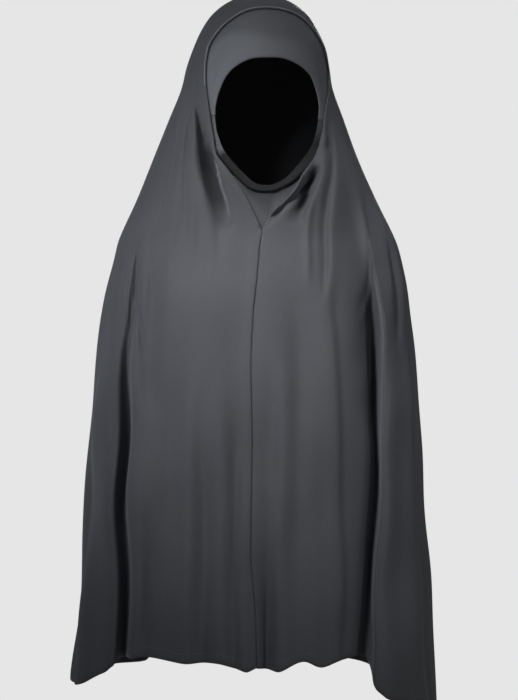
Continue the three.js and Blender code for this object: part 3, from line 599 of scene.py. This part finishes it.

# %% [markdown]
# ## A sheet from a grid
#
# Every piece of cloth starts as a bmesh grid. Its points are then moved onto the drape, and the cloth's
# own lengths across and along go into a UV map, so that the knit follows the cloth. A ring joins its last
# column to its first. The Solidify modifier gives the sheet its thickness, which is simpler than a second
# skin. A sheet may carry an attribute that tells its material where a second colour shows. On the forehead
# band that colour is painted light, and on the throat panel it is painted shade.
#
# %% Helpers for a mesh
WELD_DISTANCE = 1e-6


def as_mesh(shape, name):
    """A bmesh written into a new mesh, and freed."""
    mesh = bpy.data.meshes.new(name)
    shape.to_mesh(mesh)
    shape.free()
    return mesh


def close_ring(mesh):
    """Joins a ring's last column to its first."""
    joined = bmesh.new()
    joined.from_mesh(mesh)
    bmesh.ops.remove_doubles(joined, verts=joined.verts, dist=WELD_DISTANCE)
    joined.to_mesh(mesh)
    joined.free()


def face_outwards(mesh):
    """Turns the faces round if more of them look inwards than outwards."""
    outwards = sum(f.normal.x * f.center.x + f.normal.y * f.center.y for f in mesh.polygons)
    if outwards < 0:
        mesh.flip_normals()


def thicken(sheet, thickness):
    """Gives a sheet its thickness, half to each side."""
    wall = sheet.modifiers.new("thickness", "SOLIDIFY")
    wall.thickness = thickness
    wall.offset = 0
    wall.use_even_offset = False


print("points closer than", WELD_DISTANCE, "m are joined")

# %% A sheet from a grid
KNIT_RADIUS = 0.2  # one turn round the body measures this radius in the UV map
LAST_COLUMNS, TINY_ANGLE = 0.75, 1e-6


def cloth_sheet(name, columns, rows, place, ring=False, tone_and_painted_light=None):
    """A sheet of cloth. place gives disc points, heights and outer from shares across and along."""
    grid = bmesh.new()
    bmesh.ops.create_grid(grid, x_segments=columns, y_segments=rows, size=0.5)
    mesh = as_mesh(grid, name)
    shares = np.empty(len(mesh.vertices) * 3)
    mesh.vertices.foreach_get("co", shares)
    shares = shares.reshape(-1, 3) + 0.5
    across, along = np.clip(shares[:, 0], 0, 1), np.clip(shares[:, 1], 0, 1)
    points, height, outer = place(across, along)
    places = raised(points, height, outer)
    mesh.vertices.foreach_set("co", places.ravel())
    reach = np.hypot(points[:, 0], points[:, 1])
    azimuth = np.arctan2(points[:, 0], -points[:, 1])
    if ring:
        at_seam = (across > LAST_COLUMNS) & (azimuth < TINY_ANGLE)
        azimuth = azimuth + 2 * math.pi * ((azimuth < 0) | at_seam)
    corner = np.empty(len(mesh.loops), dtype=np.int32)
    mesh.loops.foreach_get("vertex_index", corner)
    flat = np.stack([azimuth * KNIT_RADIUS, reach], axis=-1)[corner]
    mesh.uv_layers.new(name="cloth").data.foreach_set("uv", flat.ravel())
    # The attribute for a second colour: painted light on the forehead band, painted shade on the throat
    # panel.
    if tone_and_painted_light:
        mesh.attributes.new("tone_and_painted_light", "FLOAT", "POINT").data.foreach_set("value", tone_and_painted_light(across, along))
    if ring:
        close_ring(mesh)
    face_outwards(mesh)
    mesh.polygons.foreach_set("use_smooth", [True] * len(mesh.polygons))
    area = sum(face.area for face in mesh.polygons)
    print(name, len(mesh.polygons), "faces,", round(area, 4), "m2")
    return placed(name, mesh)


print("a turn round the body is", round(2 * math.pi * KNIT_RADIUS, 3), "m in the UV map")

# %% [markdown]
# ## The veil
#
# The veil is one cloth with sewn edges at the face and at the hem. It runs in columns from the edge around
# the face down to the hem, over the crown where it must. The turned edges could be strips of their own, but
# a real one is the same cloth folded inwards: along each column it comes from the end of the turned edge,
# rounds the fold, runs down, rounds the hem and comes up again inside. More columns go to the front, where
# the folds are.
#
# %% Columns from the edge to the hem
column_run = table(
    "share azimuth",
    (0, 0), (0.124, 24), (0.28, 58), (0.341, 76), (0.402, 98), (0.436, 122), (0.48, 156), (0.5, 180),
)
column_plan = table(
    "across azimuth",
    (0, 0), (0.018, 1), (0.032, 5), (0.155, 30), (0.190, 36), (0.315, 57), (0.345, 66), (0.395, 94),
    (0.5, 180),
)
EDGE_ZONE = 0.016  # columns leave the edge at a right angle over these metres
POINT_SHARE = 0.035  # but not beside the point of the V


def veil_column(across):
    """For each share across: its hem azimuth and its share of the frame edge."""
    half = np.where(across > 0.5, 1 - across, across)
    azimuth = straight(column_plan, "across", "azimuth", half)
    share = straight(column_run, "azimuth", "share", azimuth)
    mirrored = across > 0.5
    return np.where(mirrored, 360 - azimuth, azimuth), np.where(mirrored, 1 - share, share)


def hem_point(azimuth):
    """The disc point of the hem at an azimuth."""
    turned = azimuth - 360 * np.round(azimuth / 360)
    return disc(reach_of(smooth(hem_line, "azimuth", "down", turned) * veil_length), azimuth)


def along_column(azimuth, share, distance):
    """The disc point at a distance from the frame edge, on the way to the hem."""
    start, end = on_edge(frame_line, share), hem_point(azimuth)
    length = np.linalg.norm(end - start, axis=-1)
    straight_on = start + (end - start) * (distance / length)[..., None]
    leaving = ease(0, POINT_SHARE, np.minimum(share, 1 - share))[..., None]
    zone = np.full_like(distance, EDGE_ZONE)
    first = start + (end - start) * (zone / length)[..., None]
    turn_off = first + leaving * (beside_edge(frame_line, share, zone) - first)
    square_on = beside_edge(frame_line, share, np.minimum(distance, EDGE_ZONE))
    near = straight_on + leaving * (square_on - straight_on)
    beyond = ((distance - EDGE_ZONE) / (length - EDGE_ZONE))[..., None]
    far = turn_off + (end - turn_off) * beyond
    return np.where(distance[..., None] < EDGE_ZONE, near, far), length


front_share = 2 * straight(column_plan, "azimuth", "across", 57)
print("share of the columns in front of the arms:", front_share)

# %% Rows from one turned edge to the other
# The parts of a column are the turned edge, its fold, the run down, the hem's fold and the turned hem.
row_plan = table("along part", (0, 0), (0.03, 1), (0.05, 2), (0.95, 3), (0.965, 4), (1, 5))
TURN_RADIUS = 0.00085
EDGE_BEAD, EDGE_BEAD_WIDTH = 0.0009, 0.005
ROW_CROWDING = 1.25


def veil_place(across, along):
    """Where the veil's points lie: disc points, heights, and that it is the outer cloth."""
    azimuth, share = veil_column(across)
    length = along_column(azimuth, share, np.zeros_like(across))[1]
    part = straight(row_plan, "along", "part", along)
    in_edge, round_edge, main, round_hem, in_hem = (np.clip(part - k, 0, 1) for k in range(5))
    inset = TURN_RADIUS + cloth_thickness / 2
    run = main**ROW_CROWDING * (length - 2 * inset)
    distance = inset + edge_turn * (1 - in_edge) - TURN_RADIUS * np.sin(math.pi * round_edge)
    distance = distance + run + TURN_RADIUS * np.sin(math.pi * round_hem) - hem_turn * in_hem
    under_edge = TURN_RADIUS * (1 + np.cos(math.pi * round_edge))
    under_hem = TURN_RADIUS * (1 - np.cos(math.pi * round_hem))
    bead = EDGE_BEAD * np.exp(-((distance / EDGE_BEAD_WIDTH) ** 2))
    return along_column(azimuth, share, distance)[0], bead - under_edge - under_hem, True


print("rows between the turned edges:", round(row_plan["along"][3] - row_plan["along"][2], 3), "of all")

# %% The veil
veil = cloth_sheet("veil_cloth", columns=376, rows=124, place=veil_place, ring=True)
thicken(veil, cloth_thickness)

# %% [markdown]
# ## The pieces next to the face
#
# Inside the hood sits a close cap. Its smooth front covers the forehead, and a band with elastic runs from
# temple to temple under the chin. The V of the outer cloth shows a small panel over the throat. One whole
# cap would have to be hidden almost everywhere, so only the three parts in view are made. They lie on the
# plain form, each a little under the layer before it, and the veil hides their outer edges. An attribute
# on each piece blends in a second colour: painted light over the forehead's brow and left temple, painted
# shade at the top of the throat panel, and the forehead band's grey at the ends of the chin band.
#
# %% The forehead band
BAND_FROM, BAND_TO = 0.31, 0.725
BAND_TUCK = 0.012
FACE_ROLL, FACE_ROLL_SHARE = 0.0012, 0.022
BROW_HEIGHT, BROW_TOP, BROW_SPREAD = 0.0030, 0.27, 0.55
BROW_BELOW, BROW_ABOVE = 0.06, 0.16
# Painted light on the forehead band: a pale crescent over the brow that rises over the left temple and fades
# to the right.
PALE_BELOW, PALE_ABOVE, LEAST_PALE = 0.10, 0.12, 0.35
RIGHT_TEMPLE, LEFT_TEMPLE, LEFT_RISE = (0.05, 0.35), (0.3, 0.8), (0.5, 0.85)
band_layer = -(cloth_thickness + layer_gap)


def frame_share_beside(face_share):
    """The share of the frame edge next to a share of the face edge."""
    here = drape(on_edge(face_line, np.array([face_share])), False)
    there = drape(frame_line["line"], False)
    return frame_line["share"][np.linalg.norm(there - here, axis=1).argmin()]


frame_from, frame_to = frame_share_beside(BAND_FROM), frame_share_beside(BAND_TO)


def forehead_place(across, along):
    """From the face edge, along = 0, up to where the veil hides the band."""
    low_share = BAND_FROM + across * (BAND_TO - BAND_FROM)
    high_share = frame_from + across * (frame_to - frame_from)
    low = beside_edge(face_line, low_share, np.zeros_like(across))
    high = beside_edge(frame_line, high_share, np.full_like(across, BAND_TUCK))
    roll = -FACE_ROLL * np.exp(-((along / FACE_ROLL_SHARE) ** 2))
    below_top = 1 - ease(BROW_TOP - BROW_BELOW, BROW_TOP + BROW_ABOVE, along)
    brow = BROW_HEIGHT * np.sin(math.pi * across) * below_top
    return low + (high - low) * along[:, None], band_layer + roll + brow, False


def forehead_painted_light(across, along):
    """Painted light, paler where the lamps fall most: over the brow and all of the left temple."""
    top = BROW_TOP + BROW_SPREAD * ease(*LEFT_RISE, across)
    crescent = 1 - ease(top - PALE_BELOW, top + PALE_ABOVE, along)
    leftwards = LEAST_PALE + (1 - LEAST_PALE) * ease(*LEFT_TEMPLE, across)
    return crescent * ease(*RIGHT_TEMPLE, across) * leftwards


# The band's pale crescent and left temple are painted light.
forehead = cloth_sheet("forehead_cloth", columns=150, rows=60, place=forehead_place, tone_and_painted_light=forehead_painted_light)
thicken(forehead, cloth_thickness)

# %% The chin band
chin_band_width = 0.010
BAND_LENGTH, BAND_GAP = 0.33, 0.001
CHIN_ROLL, ROLL_RISE, ROLL_FALL = 0.0024, (0.1, 0.72), (0.8, 1.1)
GATHER_PITCH, GATHER_DEPTH, GATHER_DRIFT, DRIFT_WAVES = 0.0052, 0.00022, 1.7, 23
LEFT_END, RIGHT_END, RIGHT_PULL = (0.11, 0.155), (0.90, 0.99), 0.5
chin_run = table(
    "share wide",
    (0.725, 0.9), (0.8, 0.9), (0.86, 0.95), (0.91, 0.95), (1.0, 0.85),
    (1.08, 0.9), (1.15, 1.1), (1.2, 1.45), (1.26, 1.4), (1.31, 1.2),
)


def chin_place(across, along):
    """From the left temple round the chin to the right temple. The elastic gathers the cloth a little."""
    share = BAND_TO + BAND_GAP + across * (1 + BAND_FROM - BAND_TO - 2 * BAND_GAP)
    width = smooth(chin_run, "share", "wide", share) * chin_band_width
    swell = CHIN_ROLL * ease(*ROLL_RISE, along) * (1 - ease(*ROLL_FALL, along))
    swell = swell * np.sin(math.pi * across) ** 0.5
    turns = across * BAND_LENGTH / GATHER_PITCH
    waves = np.sin(2 * math.pi * turns + GATHER_DRIFT * np.sin(across * DRIFT_WAVES))
    gather = GATHER_DEPTH * waves * np.sin(math.pi * along)
    return beside_edge(face_line, share, width * along), band_layer + swell + gather, False


def chin_pull(across, along):
    """The elastic starts a little below the temples, and above it the band looks like the forehead's."""
    return 1 - ease(*LEFT_END, across) + RIGHT_PULL * ease(*RIGHT_END, across)


chin = cloth_sheet("chin_elastic", columns=420, rows=16, place=chin_place, tone_and_painted_light=chin_pull)
thicken(chin, cloth_thickness)

# %% The throat panel
PANEL_FROM, PANEL_TO, PANEL_TUCK = 0.885, 1.125, 0.007
PANEL_RISE, PANEL_SAG = 0.2, 0.0006
SLACK_DEPTH, SLACK_ACROSS, SLACK_ALONG = 0.0009, 17, 2
# Painted shade at the panel's top, under the chin band.
SHADE_FALL, MIDDLE_SHADE = (0.2, 0.7), 0.6
panel_frame_from = frame_share_beside(PANEL_FROM)
panel_frame_to = 1 + frame_share_beside(PANEL_TO - 1)


def panel_place(across, along):
    """From behind the chin band down to behind the V, with slack folds towards its point."""
    share = PANEL_FROM + across * (PANEL_TO - PANEL_FROM)
    width = smooth(chin_run, "share", "wide", share) * chin_band_width
    top = beside_edge(face_line, share, width - PANEL_TUCK)
    frame_share = (panel_frame_from + across * (panel_frame_to - panel_frame_from)) % 1
    low = beside_edge(frame_line, frame_share, np.full_like(across, PANEL_TUCK))
    middle = np.sin(math.pi * across)
    layer = 2 * band_layer - band_layer * middle * np.clip((along - PANEL_RISE) / (1 - PANEL_RISE), 0, 1)
    slack = SLACK_DEPTH * np.sin(across * SLACK_ACROSS + along * SLACK_ALONG) * np.sin(math.pi * along)
    return top + (low - top) * along[:, None], layer + (slack - PANEL_SAG) * middle, False


def panel_painted_shade(across, along):
    """Painted shade under the chin: next to the elastic nearly as dark, most at the sides, paler lower down.
    """
    return (1 - ease(*SHADE_FALL, along)) * (MIDDLE_SHADE + (1 - MIDDLE_SHADE) * np.abs(2 * across - 1))


# The dark top of the panel is painted shade.
panel = cloth_sheet("throat_cloth", columns=80, rows=48, place=panel_place, tone_and_painted_light=panel_painted_shade)
thicken(panel, cloth_thickness)

# %% [markdown]
# ## The seam inside the front
#
# The two front halves are sewn together below the V. Outside that shows as a fine groove, which the
# drape already has. Inside, the seam allowance lies flat to one side. It could be left out, as only its
# ridge shows from outside, but the cloth is open below, so a strip with a slightly wavy raw edge is made.
#
# %% The seam allowance
SEAM_ALLOWANCE, ALLOWANCE_UNDER = 0.011, 0.0021
RAW_EDGE_WAVE, RAW_EDGE_WAVES = 0.04, 90
ALLOWANCE_START, ALLOWANCE_END = 0.346, 0.878


def seam_place(across, along):
    """A narrow strip inside the cloth, from just below the V to just above the hem."""
    down = ALLOWANCE_START + along * (ALLOWANCE_END - ALLOWANCE_START)
    reach = reach_of(down * veil_length)
    width = SEAM_ALLOWANCE * (1 + RAW_EDGE_WAVE * np.sin(along * RAW_EDGE_WAVES))
    aside = (1 - across) * width / form_radius(reach, np.zeros_like(reach))
    return disc(reach, -np.degrees(aside)), np.full_like(across, -ALLOWANCE_UNDER), True


seam = cloth_sheet("seam_allowance", columns=8, rows=200, place=seam_place)
thicken(seam, cloth_thickness)

# %% [markdown]
# ## Sewing thread
#
# A stitch shows as a short rounded bead of thread that sinks into the cloth at both ends. A painted dashed
# line would be quicker, but it would lie flat on the cloth. So each stitch is a stretched sphere with few
# faces, because there are hundreds. The row over the left of the forehead is sewn in a lighter and thicker
# thread, which reads as a thin pale line on the hood. The other rows hardly show.
#
# %% A bead of thread and a row of them
STITCH_PITCH, STITCH_LENGTH = 0.0034, 0.0025
ROW_SAMPLES, NORMAL_STEP = 3000, 0.001

bead = bmesh.new()
lying = Matrix.Rotation(math.pi / 2, 4, "Y")
bmesh.ops.create_uvsphere(bead, u_segments=8, v_segments=6, radius=1, matrix=lying)
bead_mesh = as_mesh(bead, "stitch_bead")
bead_places = np.array([vertex.co for vertex in bead_mesh.vertices])


def even_shares(path, pitch):
    """Shares of a path, one for each stitch at an even pitch."""
    lengths = np.linalg.norm(np.diff(path, axis=0), axis=1)
    along = np.concatenate([[0], np.cumsum(lengths)])
    count = int(along[-1] / pitch)
    return np.interp((np.arange(count) + 0.5) * along[-1] / count, along, np.linspace(0, 1, len(path)))


def stitch_row(name, place, thread_radius):
    """A row of stitches. place gives disc points and heights from shares of the row."""
    fine = np.linspace(0, 1, ROW_SAMPLES)
    shares = even_shares(raised(*place(fine), True), STITCH_PITCH)
    half = STITCH_LENGTH / STITCH_PITCH / len(shares) / 2
    points, height = place(shares)
    middle = raised(points, height, True)
    ahead = raised(*place(np.minimum(shares + half, 1)), True)
    along = unit(ahead - raised(*place(np.maximum(shares - half, 0)), True))
    normal = unit(raised(points, height + NORMAL_STEP, True) - middle)
    side = unit(np.cross(normal, along))
    row = bmesh.new()
    for _ in shares:
        row.from_mesh(bead_mesh)
    mesh = as_mesh(row, name)
    axes = np.stack([along * STITCH_LENGTH / 2, side * thread_radius, normal * thread_radius], axis=1)
    mesh.vertices.foreach_set("co", (bead_places @ axes + middle[:, None]).ravel())
    mesh.polygons.foreach_set("use_smooth", [True] * len(mesh.polygons))
    print(name, len(shares), "stitches,", len(mesh.polygons), "faces")
    return placed(name, mesh)


print("faces of a stitch:", len(bead_mesh.polygons))

# %% The rows beside the edge and above the hem
THREAD_RADIUS = 0.00032
FINE_THREAD, THICK_THREAD = 0.8 * THREAD_RADIUS, 1.3 * THREAD_RADIUS
HEM_STITCH_INSET = 0.002


def edge_row(first, last, inset):
    """A row beside the frame edge, from one share of it to another."""

    def place(share):
        within = first + share * (last - first)
        half = straight(column_run, "share", "azimuth", np.where(within > 0.5, 1 - within, within))
        azimuth = np.where(within > 0.5, 360 - half, half)
        bead_height = EDGE_BEAD * math.exp(-((inset / EDGE_BEAD_WIDTH) ** 2))
        points = along_column(azimuth, within, np.full_like(share, inset))[0]
        return points, np.full_like(share, bead_height + cloth_thickness / 2)

    return place


def hem_row(share):
    """The row above the hem."""
    azimuth, edge_share = veil_column(share)
    length = along_column(azimuth, edge_share, np.zeros_like(share))[1]
    points = along_column(azimuth, edge_share, length - hem_turn + HEM_STITCH_INSET)[0]
    return points, np.full_like(share, cloth_thickness / 2)


arc_row = edge_row(first=0.452, last=0.722, inset=0.0022)
right_row = edge_row(first=0.03, last=0.45, inset=0.0055)
left_row = edge_row(first=0.724, last=0.97, inset=0.0055)
arc_stitches = stitch_row("arc_stitches", arc_row, THICK_THREAD)
right_stitches = stitch_row("right_stitches", right_row, FINE_THREAD)
left_stitches = stitch_row("left_stitches", left_row, FINE_THREAD)
hem_stitches = stitch_row("hem_stitches", hem_row, FINE_THREAD)

# %% [markdown]
# ## Shader maths
#
# Materials are node trees. They could be drawn in the editor or written one Math node at a time, but both
# are slow to read. So a small class wraps a socket and turns Python's operators into Math nodes. Any other
# node comes from one method.
#
# %% Shader maths


class Shade:
    """A socket's value in a material's node tree."""

    def __init__(self, tree, socket):
        self.tree, self.socket = tree, socket

    def node(self, kind, settings=None, out=0, **inputs):
        """Adds a node of a kind. Settings come first, then the values or links of its sockets."""
        made = self.tree.nodes.new(kind)
        for name, value in (settings or {}).items():
            setattr(made, name, value)
        for name, value in inputs.items():
            key = int(name[1:]) if name[0] == "i" and name[1:].isdigit() else name.replace("_", " ")
            if isinstance(value, Shade):
                self.tree.links.new(value.socket, made.inputs[key])
            else:
                made.inputs[key].default_value = value
        return Shade(self.tree, made.outputs[out])

    def maths(self, operation, first, second=0.0):
        """One Math node."""
        return self.node("ShaderNodeMath", {"operation": operation}, i0=first, i1=second)

    def __add__(self, other):
        return self.maths("ADD", self, other)

    def __radd__(self, other):
        return self.maths("ADD", other, self)

    def __sub__(self, other):
        return self.maths("SUBTRACT", self, other)

    def __rsub__(self, other):
        return self.maths("SUBTRACT", other, self)

    def __mul__(self, other):
        return self.maths("MULTIPLY", self, other)

    def __rmul__(self, other):
        return self.maths("MULTIPLY", other, self)

    def sine(self):
        """The sine."""
        return self.maths("SINE", self)

    def size(self):
        """The value without its sign."""
        return self.maths("ABSOLUTE", self)

    def step(self, low, high):
        """0 below low, 1 above high, and a soft step between."""
        settings = {"interpolation_type": "SMOOTHSTEP"}
        return self.node("ShaderNodeMapRange", settings, Value=self, From_Min=low, From_Max=high)

    def noise(self, where, scale, detail=2.0, roughness=0.5):
        """Noise on some coordinates."""
        return self.node("ShaderNodeTexNoise", Vector=where, Scale=scale, Detail=detail, Roughness=roughness)

    def blend(self, first, second):
        """A mix of two colours, by this value."""
        return self.node("ShaderNodeMix", {"data_type": "RGBA"}, out=2, i0=self, i6=first, i7=second)


def fresh_material(name):
    """A new material, its tree, its shader, and a start for its maths."""
    material = bpy.data.materials.new(name)
    material.use_nodes = True
    tree = material.node_tree
    return material, tree, tree.nodes["Principled BSDF"], Shade(tree, None)


print("operators:", "+ - *")

# %% [markdown]
# ## Jersey
#
# Seen close, jersey is a field of small stitches in upright columns, the wales. Seen from a step away it
# is matt with a soft sheen, because its fibres stand up from the thread. Modelled stitches would be too
# many, so the knit is a bump on the cloth's own lengths. A faint mottle keeps the grey from looking like
# paint, and an attribute blends in a piece's second colour. That colour is painted light on the forehead
# band and painted shade on the throat panel.
#
# %% The jersey finish
WALE, COURSE = 0.00115, 0.00095  # metres of one stitch across and along
FUZZ, SPECKLE, CREASES, CLOUDS = 900.0, 420.0, 34.0, 9.0  # noise scales, from fine to broad
CLOUD_TONE, SPECKLE_TONE, KNIT_TONE, MIDDLE_TONE = 0.9, 0.7, 0.22, 0.42
SPECKLE_ROUGH, CLOUD_ROUGH = 0.12, 0.08
CREASE_HEIGHT, KNIT_HEIGHT = 0.004, 0.0005
SHEEN_ROUGHNESS, SHEEN_TINT, SPECULAR = 0.45, (0.75, 0.78, 0.86, 1), 0.25


def jersey(name, colour, pale, sheen, roughness, knit_strength, crease_strength, tone_and_painted_light_colour=None):
    """Knitted cloth in one colour, with a paler tone for its mottle and a second colour where the attribute
    is 1.
    """
    material, tree, shader, start = fresh_material(name)
    uv = start.node("ShaderNodeUVMap", {"uv_map": "cloth"})
    place = start.node("ShaderNodeTexCoord", out=3)
    across = start.node("ShaderNodeSeparateXYZ", Vector=uv)
    along = Shade(tree, across.socket.node.outputs[1])

    wale = (across * (2 * math.pi / WALE)).sine()
    course = (along * (2 * math.pi / COURSE) + wale.size() * 2.2).sine()
    knit = wale.size() * 0.6 + course * 0.4
    fuzz = start.noise(place, FUZZ, 3.0, 0.6)
    crease = start.noise(place, CREASES, 4.0, 0.55)
    cloudy = start.noise(place, CLOUDS, 3.0, 0.5)
    speckle = start.noise(place, SPECKLE, 2.0, 0.5)

    mottle = (cloudy - 0.5) * CLOUD_TONE + (speckle - 0.5) * SPECKLE_TONE + (knit - 0.4) * KNIT_TONE
    mottle = mottle + MIDDLE_TONE
    shade = mottle.step(0.0, 1.0).blend(colour, pale)
    # The second colour: painted light on the forehead band, painted shade on the throat panel, the band's
    # grey at the chin band's ends.
    if tone_and_painted_light_colour:
        tone_and_painted_light = start.node("ShaderNodeAttribute", {"attribute_name": "tone_and_painted_light"}, out=2)
        shade = tone_and_painted_light.blend(shade, tone_and_painted_light_colour)
    tree.links.new(shade.socket, shader.inputs["Base Color"])
    rough = (speckle - 0.5) * SPECKLE_ROUGH + (cloudy - 0.5) * CLOUD_ROUGH + roughness
    tree.links.new(rough.socket, shader.inputs["Roughness"])

    bump = "ShaderNodeBump"
    relief = start.node(bump, Strength=crease_strength, Distance=CREASE_HEIGHT, Height=crease)
    height = knit + fuzz * 0.5
    fine = start.node(bump, Strength=knit_strength, Distance=KNIT_HEIGHT, Height=height, Normal=relief)
    tree.links.new(fine.socket, shader.inputs["Normal"])
    shader.inputs["Sheen Weight"].default_value = sheen
    shader.inputs["Sheen Roughness"].default_value = SHEEN_ROUGHNESS
    shader.inputs["Sheen Tint"].default_value = SHEEN_TINT
    shader.inputs["Specular IOR Level"].default_value = SPECULAR
    return material


print("wales to a centimetre:", round(0.01 / WALE, 1))

# %% The thread, and a finish for each piece
THREAD_FIBRES = 1500.0


def sewing_thread(name, colour, pale):
    """Sewing thread, with its fibres as a fine noise."""
    material, tree, shader, start = fresh_material(name)
    place = start.node("ShaderNodeTexCoord", out=3)
    ply = start.noise(place, THREAD_FIBRES, 2.0, 0.5)
    shade = ply.step(0.3, 0.7).blend(colour, pale)
    tree.links.new(shade.socket, shader.inputs["Base Color"])
    fine = start.node("ShaderNodeBump", Strength=0.4, Distance=0.0002, Height=ply)
    tree.links.new(fine.socket, shader.inputs["Normal"])
    shader.inputs["Roughness"].default_value = 0.55
    shader.inputs["Sheen Weight"].default_value = 0.2
    return material


charcoal = jersey(
    "charcoal_jersey", (0.056, 0.0565, 0.063, 1), (0.080, 0.081, 0.089, 1),
    sheen=0.22, roughness=0.72, knit_strength=0.25, crease_strength=0.12,
)
# The forehead band's second colour is painted light, where the lamps fall on the brow and the left temple.
smooth_charcoal = jersey(
    "forehead_jersey_painted_light", (0.078, 0.080, 0.088, 1), (0.108, 0.110, 0.121, 1), tone_and_painted_light_colour=(0.128, 0.131, 0.143, 1),
    sheen=0.22, roughness=0.66, knit_strength=0.22, crease_strength=0.06,
)
elastic = jersey(
    "elastic_jersey", (0.008, 0.008, 0.009, 1), (0.014, 0.014, 0.016, 1), tone_and_painted_light_colour=(0.104, 0.107, 0.117, 1),
    sheen=0.04, roughness=0.70, knit_strength=0.35, crease_strength=0.15,
)
# The throat panel's second colour is painted shade, dark under the chin band.
throat = jersey(
    "throat_jersey_painted_shade", (0.052, 0.0525, 0.059, 1), (0.074, 0.075, 0.083, 1), tone_and_painted_light_colour=(0.012, 0.012, 0.014, 1),
    sheen=0.20, roughness=0.72, knit_strength=0.25, crease_strength=0.12,
)
allowance = jersey(
    "allowance_jersey", (0.048, 0.049, 0.054, 1), (0.068, 0.069, 0.076, 1),
    sheen=0.20, roughness=0.80, knit_strength=0.30, crease_strength=0.10,
)
pale_thread = sewing_thread("pale_thread", (0.40, 0.405, 0.415, 1), (0.56, 0.565, 0.575, 1))
dark_thread = sewing_thread("dark_thread", (0.060, 0.062, 0.068, 1), (0.090, 0.093, 0.100, 1))

finishes = (
    (veil, charcoal), (forehead, smooth_charcoal), (chin, elastic), (panel, throat),
    (seam, allowance), (arc_stitches, pale_thread), (right_stitches, dark_thread),
    (left_stitches, dark_thread), (hem_stitches, dark_thread),
)
for piece, finish in finishes:
    piece.data.materials.append(finish)
print("materials:", len({finish.name for _, finish in finishes}))

# %% [markdown]
# ## The studio
#
# The object hangs as on a head, so the floor lies well below the hem, and everything behind is pale. The
# cloth is brightest at the bust and darkens towards the hem. One big lamp would light it evenly, so three
# round lamps stand in front, up to the left, and each beam fades from its middle: one on the bust, one on
# the body and one on the head. Two weak lamps show the outline at the right and the left, and the left one
# is bluish, as in the photo. A lamp behind shows the back's folds. The pale surround is seen at full
# strength but lights the cloth much less, so that the folds keep their dark.
#
# %% The floor
FLOOR_DROP, FLOOR_SIZE = 1.62, 3.2

plane = bmesh.new()
lowered = Matrix.Translation((0, 0, -FLOOR_DROP))
bmesh.ops.create_grid(plane, x_segments=1, y_segments=1, size=FLOOR_SIZE, matrix=lowered)
floor = placed("floor", as_mesh(plane, "floor"))
paper, _, paper_shader, _ = fresh_material("pale_paper")
paper_shader.inputs["Base Color"].default_value = (0.80, 0.80, 0.80, 1)
paper_shader.inputs["Roughness"].default_value = 0.9
floor.data.materials.append(paper)
print("floor at", -FLOOR_DROP)

# %% Light
BACKGROUND, AMBIENT = 0.791, 0.12
LAMP_RADIUS = 0.22


def soft_lamp(name, place, target, angle, power, colour):
    """A large round lamp whose beam fades from its middle to its rim."""
    data = bpy.data.lights.new(name, "SPOT")
    data.energy = power
    data.color = colour
    data.spot_size = math.radians(angle)
    data.spot_blend = 1
    data.shadow_soft_size = LAMP_RADIUS
    lamp = placed(name, data)
    lamp.location = place
    lamp.rotation_euler = (Vector(target) - Vector(place)).to_track_quat("-Z", "Y").to_euler()


# Each row is a lamp: its name, place, target, angle in degrees, power in watts and colour.
lamps = (
    ("bust_lamp", (-0.69, -1.54, 0.76), (-0.01, -0.14, -0.33), 17, 205, (1.00, 1.00, 1.00)),
    ("body_lamp", (-0.80, -1.93, 0.23), (-0.01, -0.15, -0.56), 20, 95, (0.92, 0.96, 1.00)),
    ("head_lamp", (-1.10, -1.35, 0.25), (-0.03, -0.10, -0.14), 11, 80, (0.88, 0.96, 1.00)),
    ("side_lamp", (1.90, -1.35, 0.10), (0.00, -0.15, -0.45), 40, 40, (0.94, 0.96, 1.00)),
    ("cool_lamp", (-1.90, -0.30, 0.10), (0.00, 0.00, -0.40), 40, 18, (0.58, 0.80, 1.00)),
    ("rear_lamp", (0.30, 2.40, 0.70), (0.00, 0.10, -0.45), 40, 220, (1.00, 1.00, 1.00)),
)
for lamp_row in lamps:
    soft_lamp(*lamp_row)
world = bpy.data.worlds.new("studio")
world.use_nodes = True
tree = world.node_tree
surround = tree.nodes["Background"]
surround.inputs["Color"].default_value = (1, 1, 1, 1)
seen = Shade(tree, None).node("ShaderNodeLightPath", out="Is Camera Ray")
strength = seen * (BACKGROUND - AMBIENT) + AMBIENT
tree.links.new(strength.socket, surround.inputs["Strength"])
bpy.context.scene.world = world
bpy.context.scene.view_settings.view_transform = "Standard"
print("lamps:", len(lamps))

# %% [markdown]
# ## Tie the pieces to the frame
#
# Nothing moves on a veil, so every piece rides on the one body. Each cloth takes the place of its CAD
# node, and the stitches are extra. Each sheet prints its area as it is made.
#
# %% Riding and replacing
nodes = {
    "veil": veil, "forehead_band": forehead, "chin_band": chin, "throat_panel": panel, "front_seam": seam,
}
slots = {
    veil: "veil_cloth", forehead: "band_cloth", chin: "elastic_cloth", panel: "panel_cloth",
    seam: "seam_cloth", arc_stitches: "veil_cloth", right_stitches: "veil_cloth",
    left_stitches: "veil_cloth", hem_stitches: "veil_cloth",
}
for piece, slot_name in slots.items():
    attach(piece, "root")
for node, piece in nodes.items():
    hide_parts(node)
print("pieces:", len(slots))
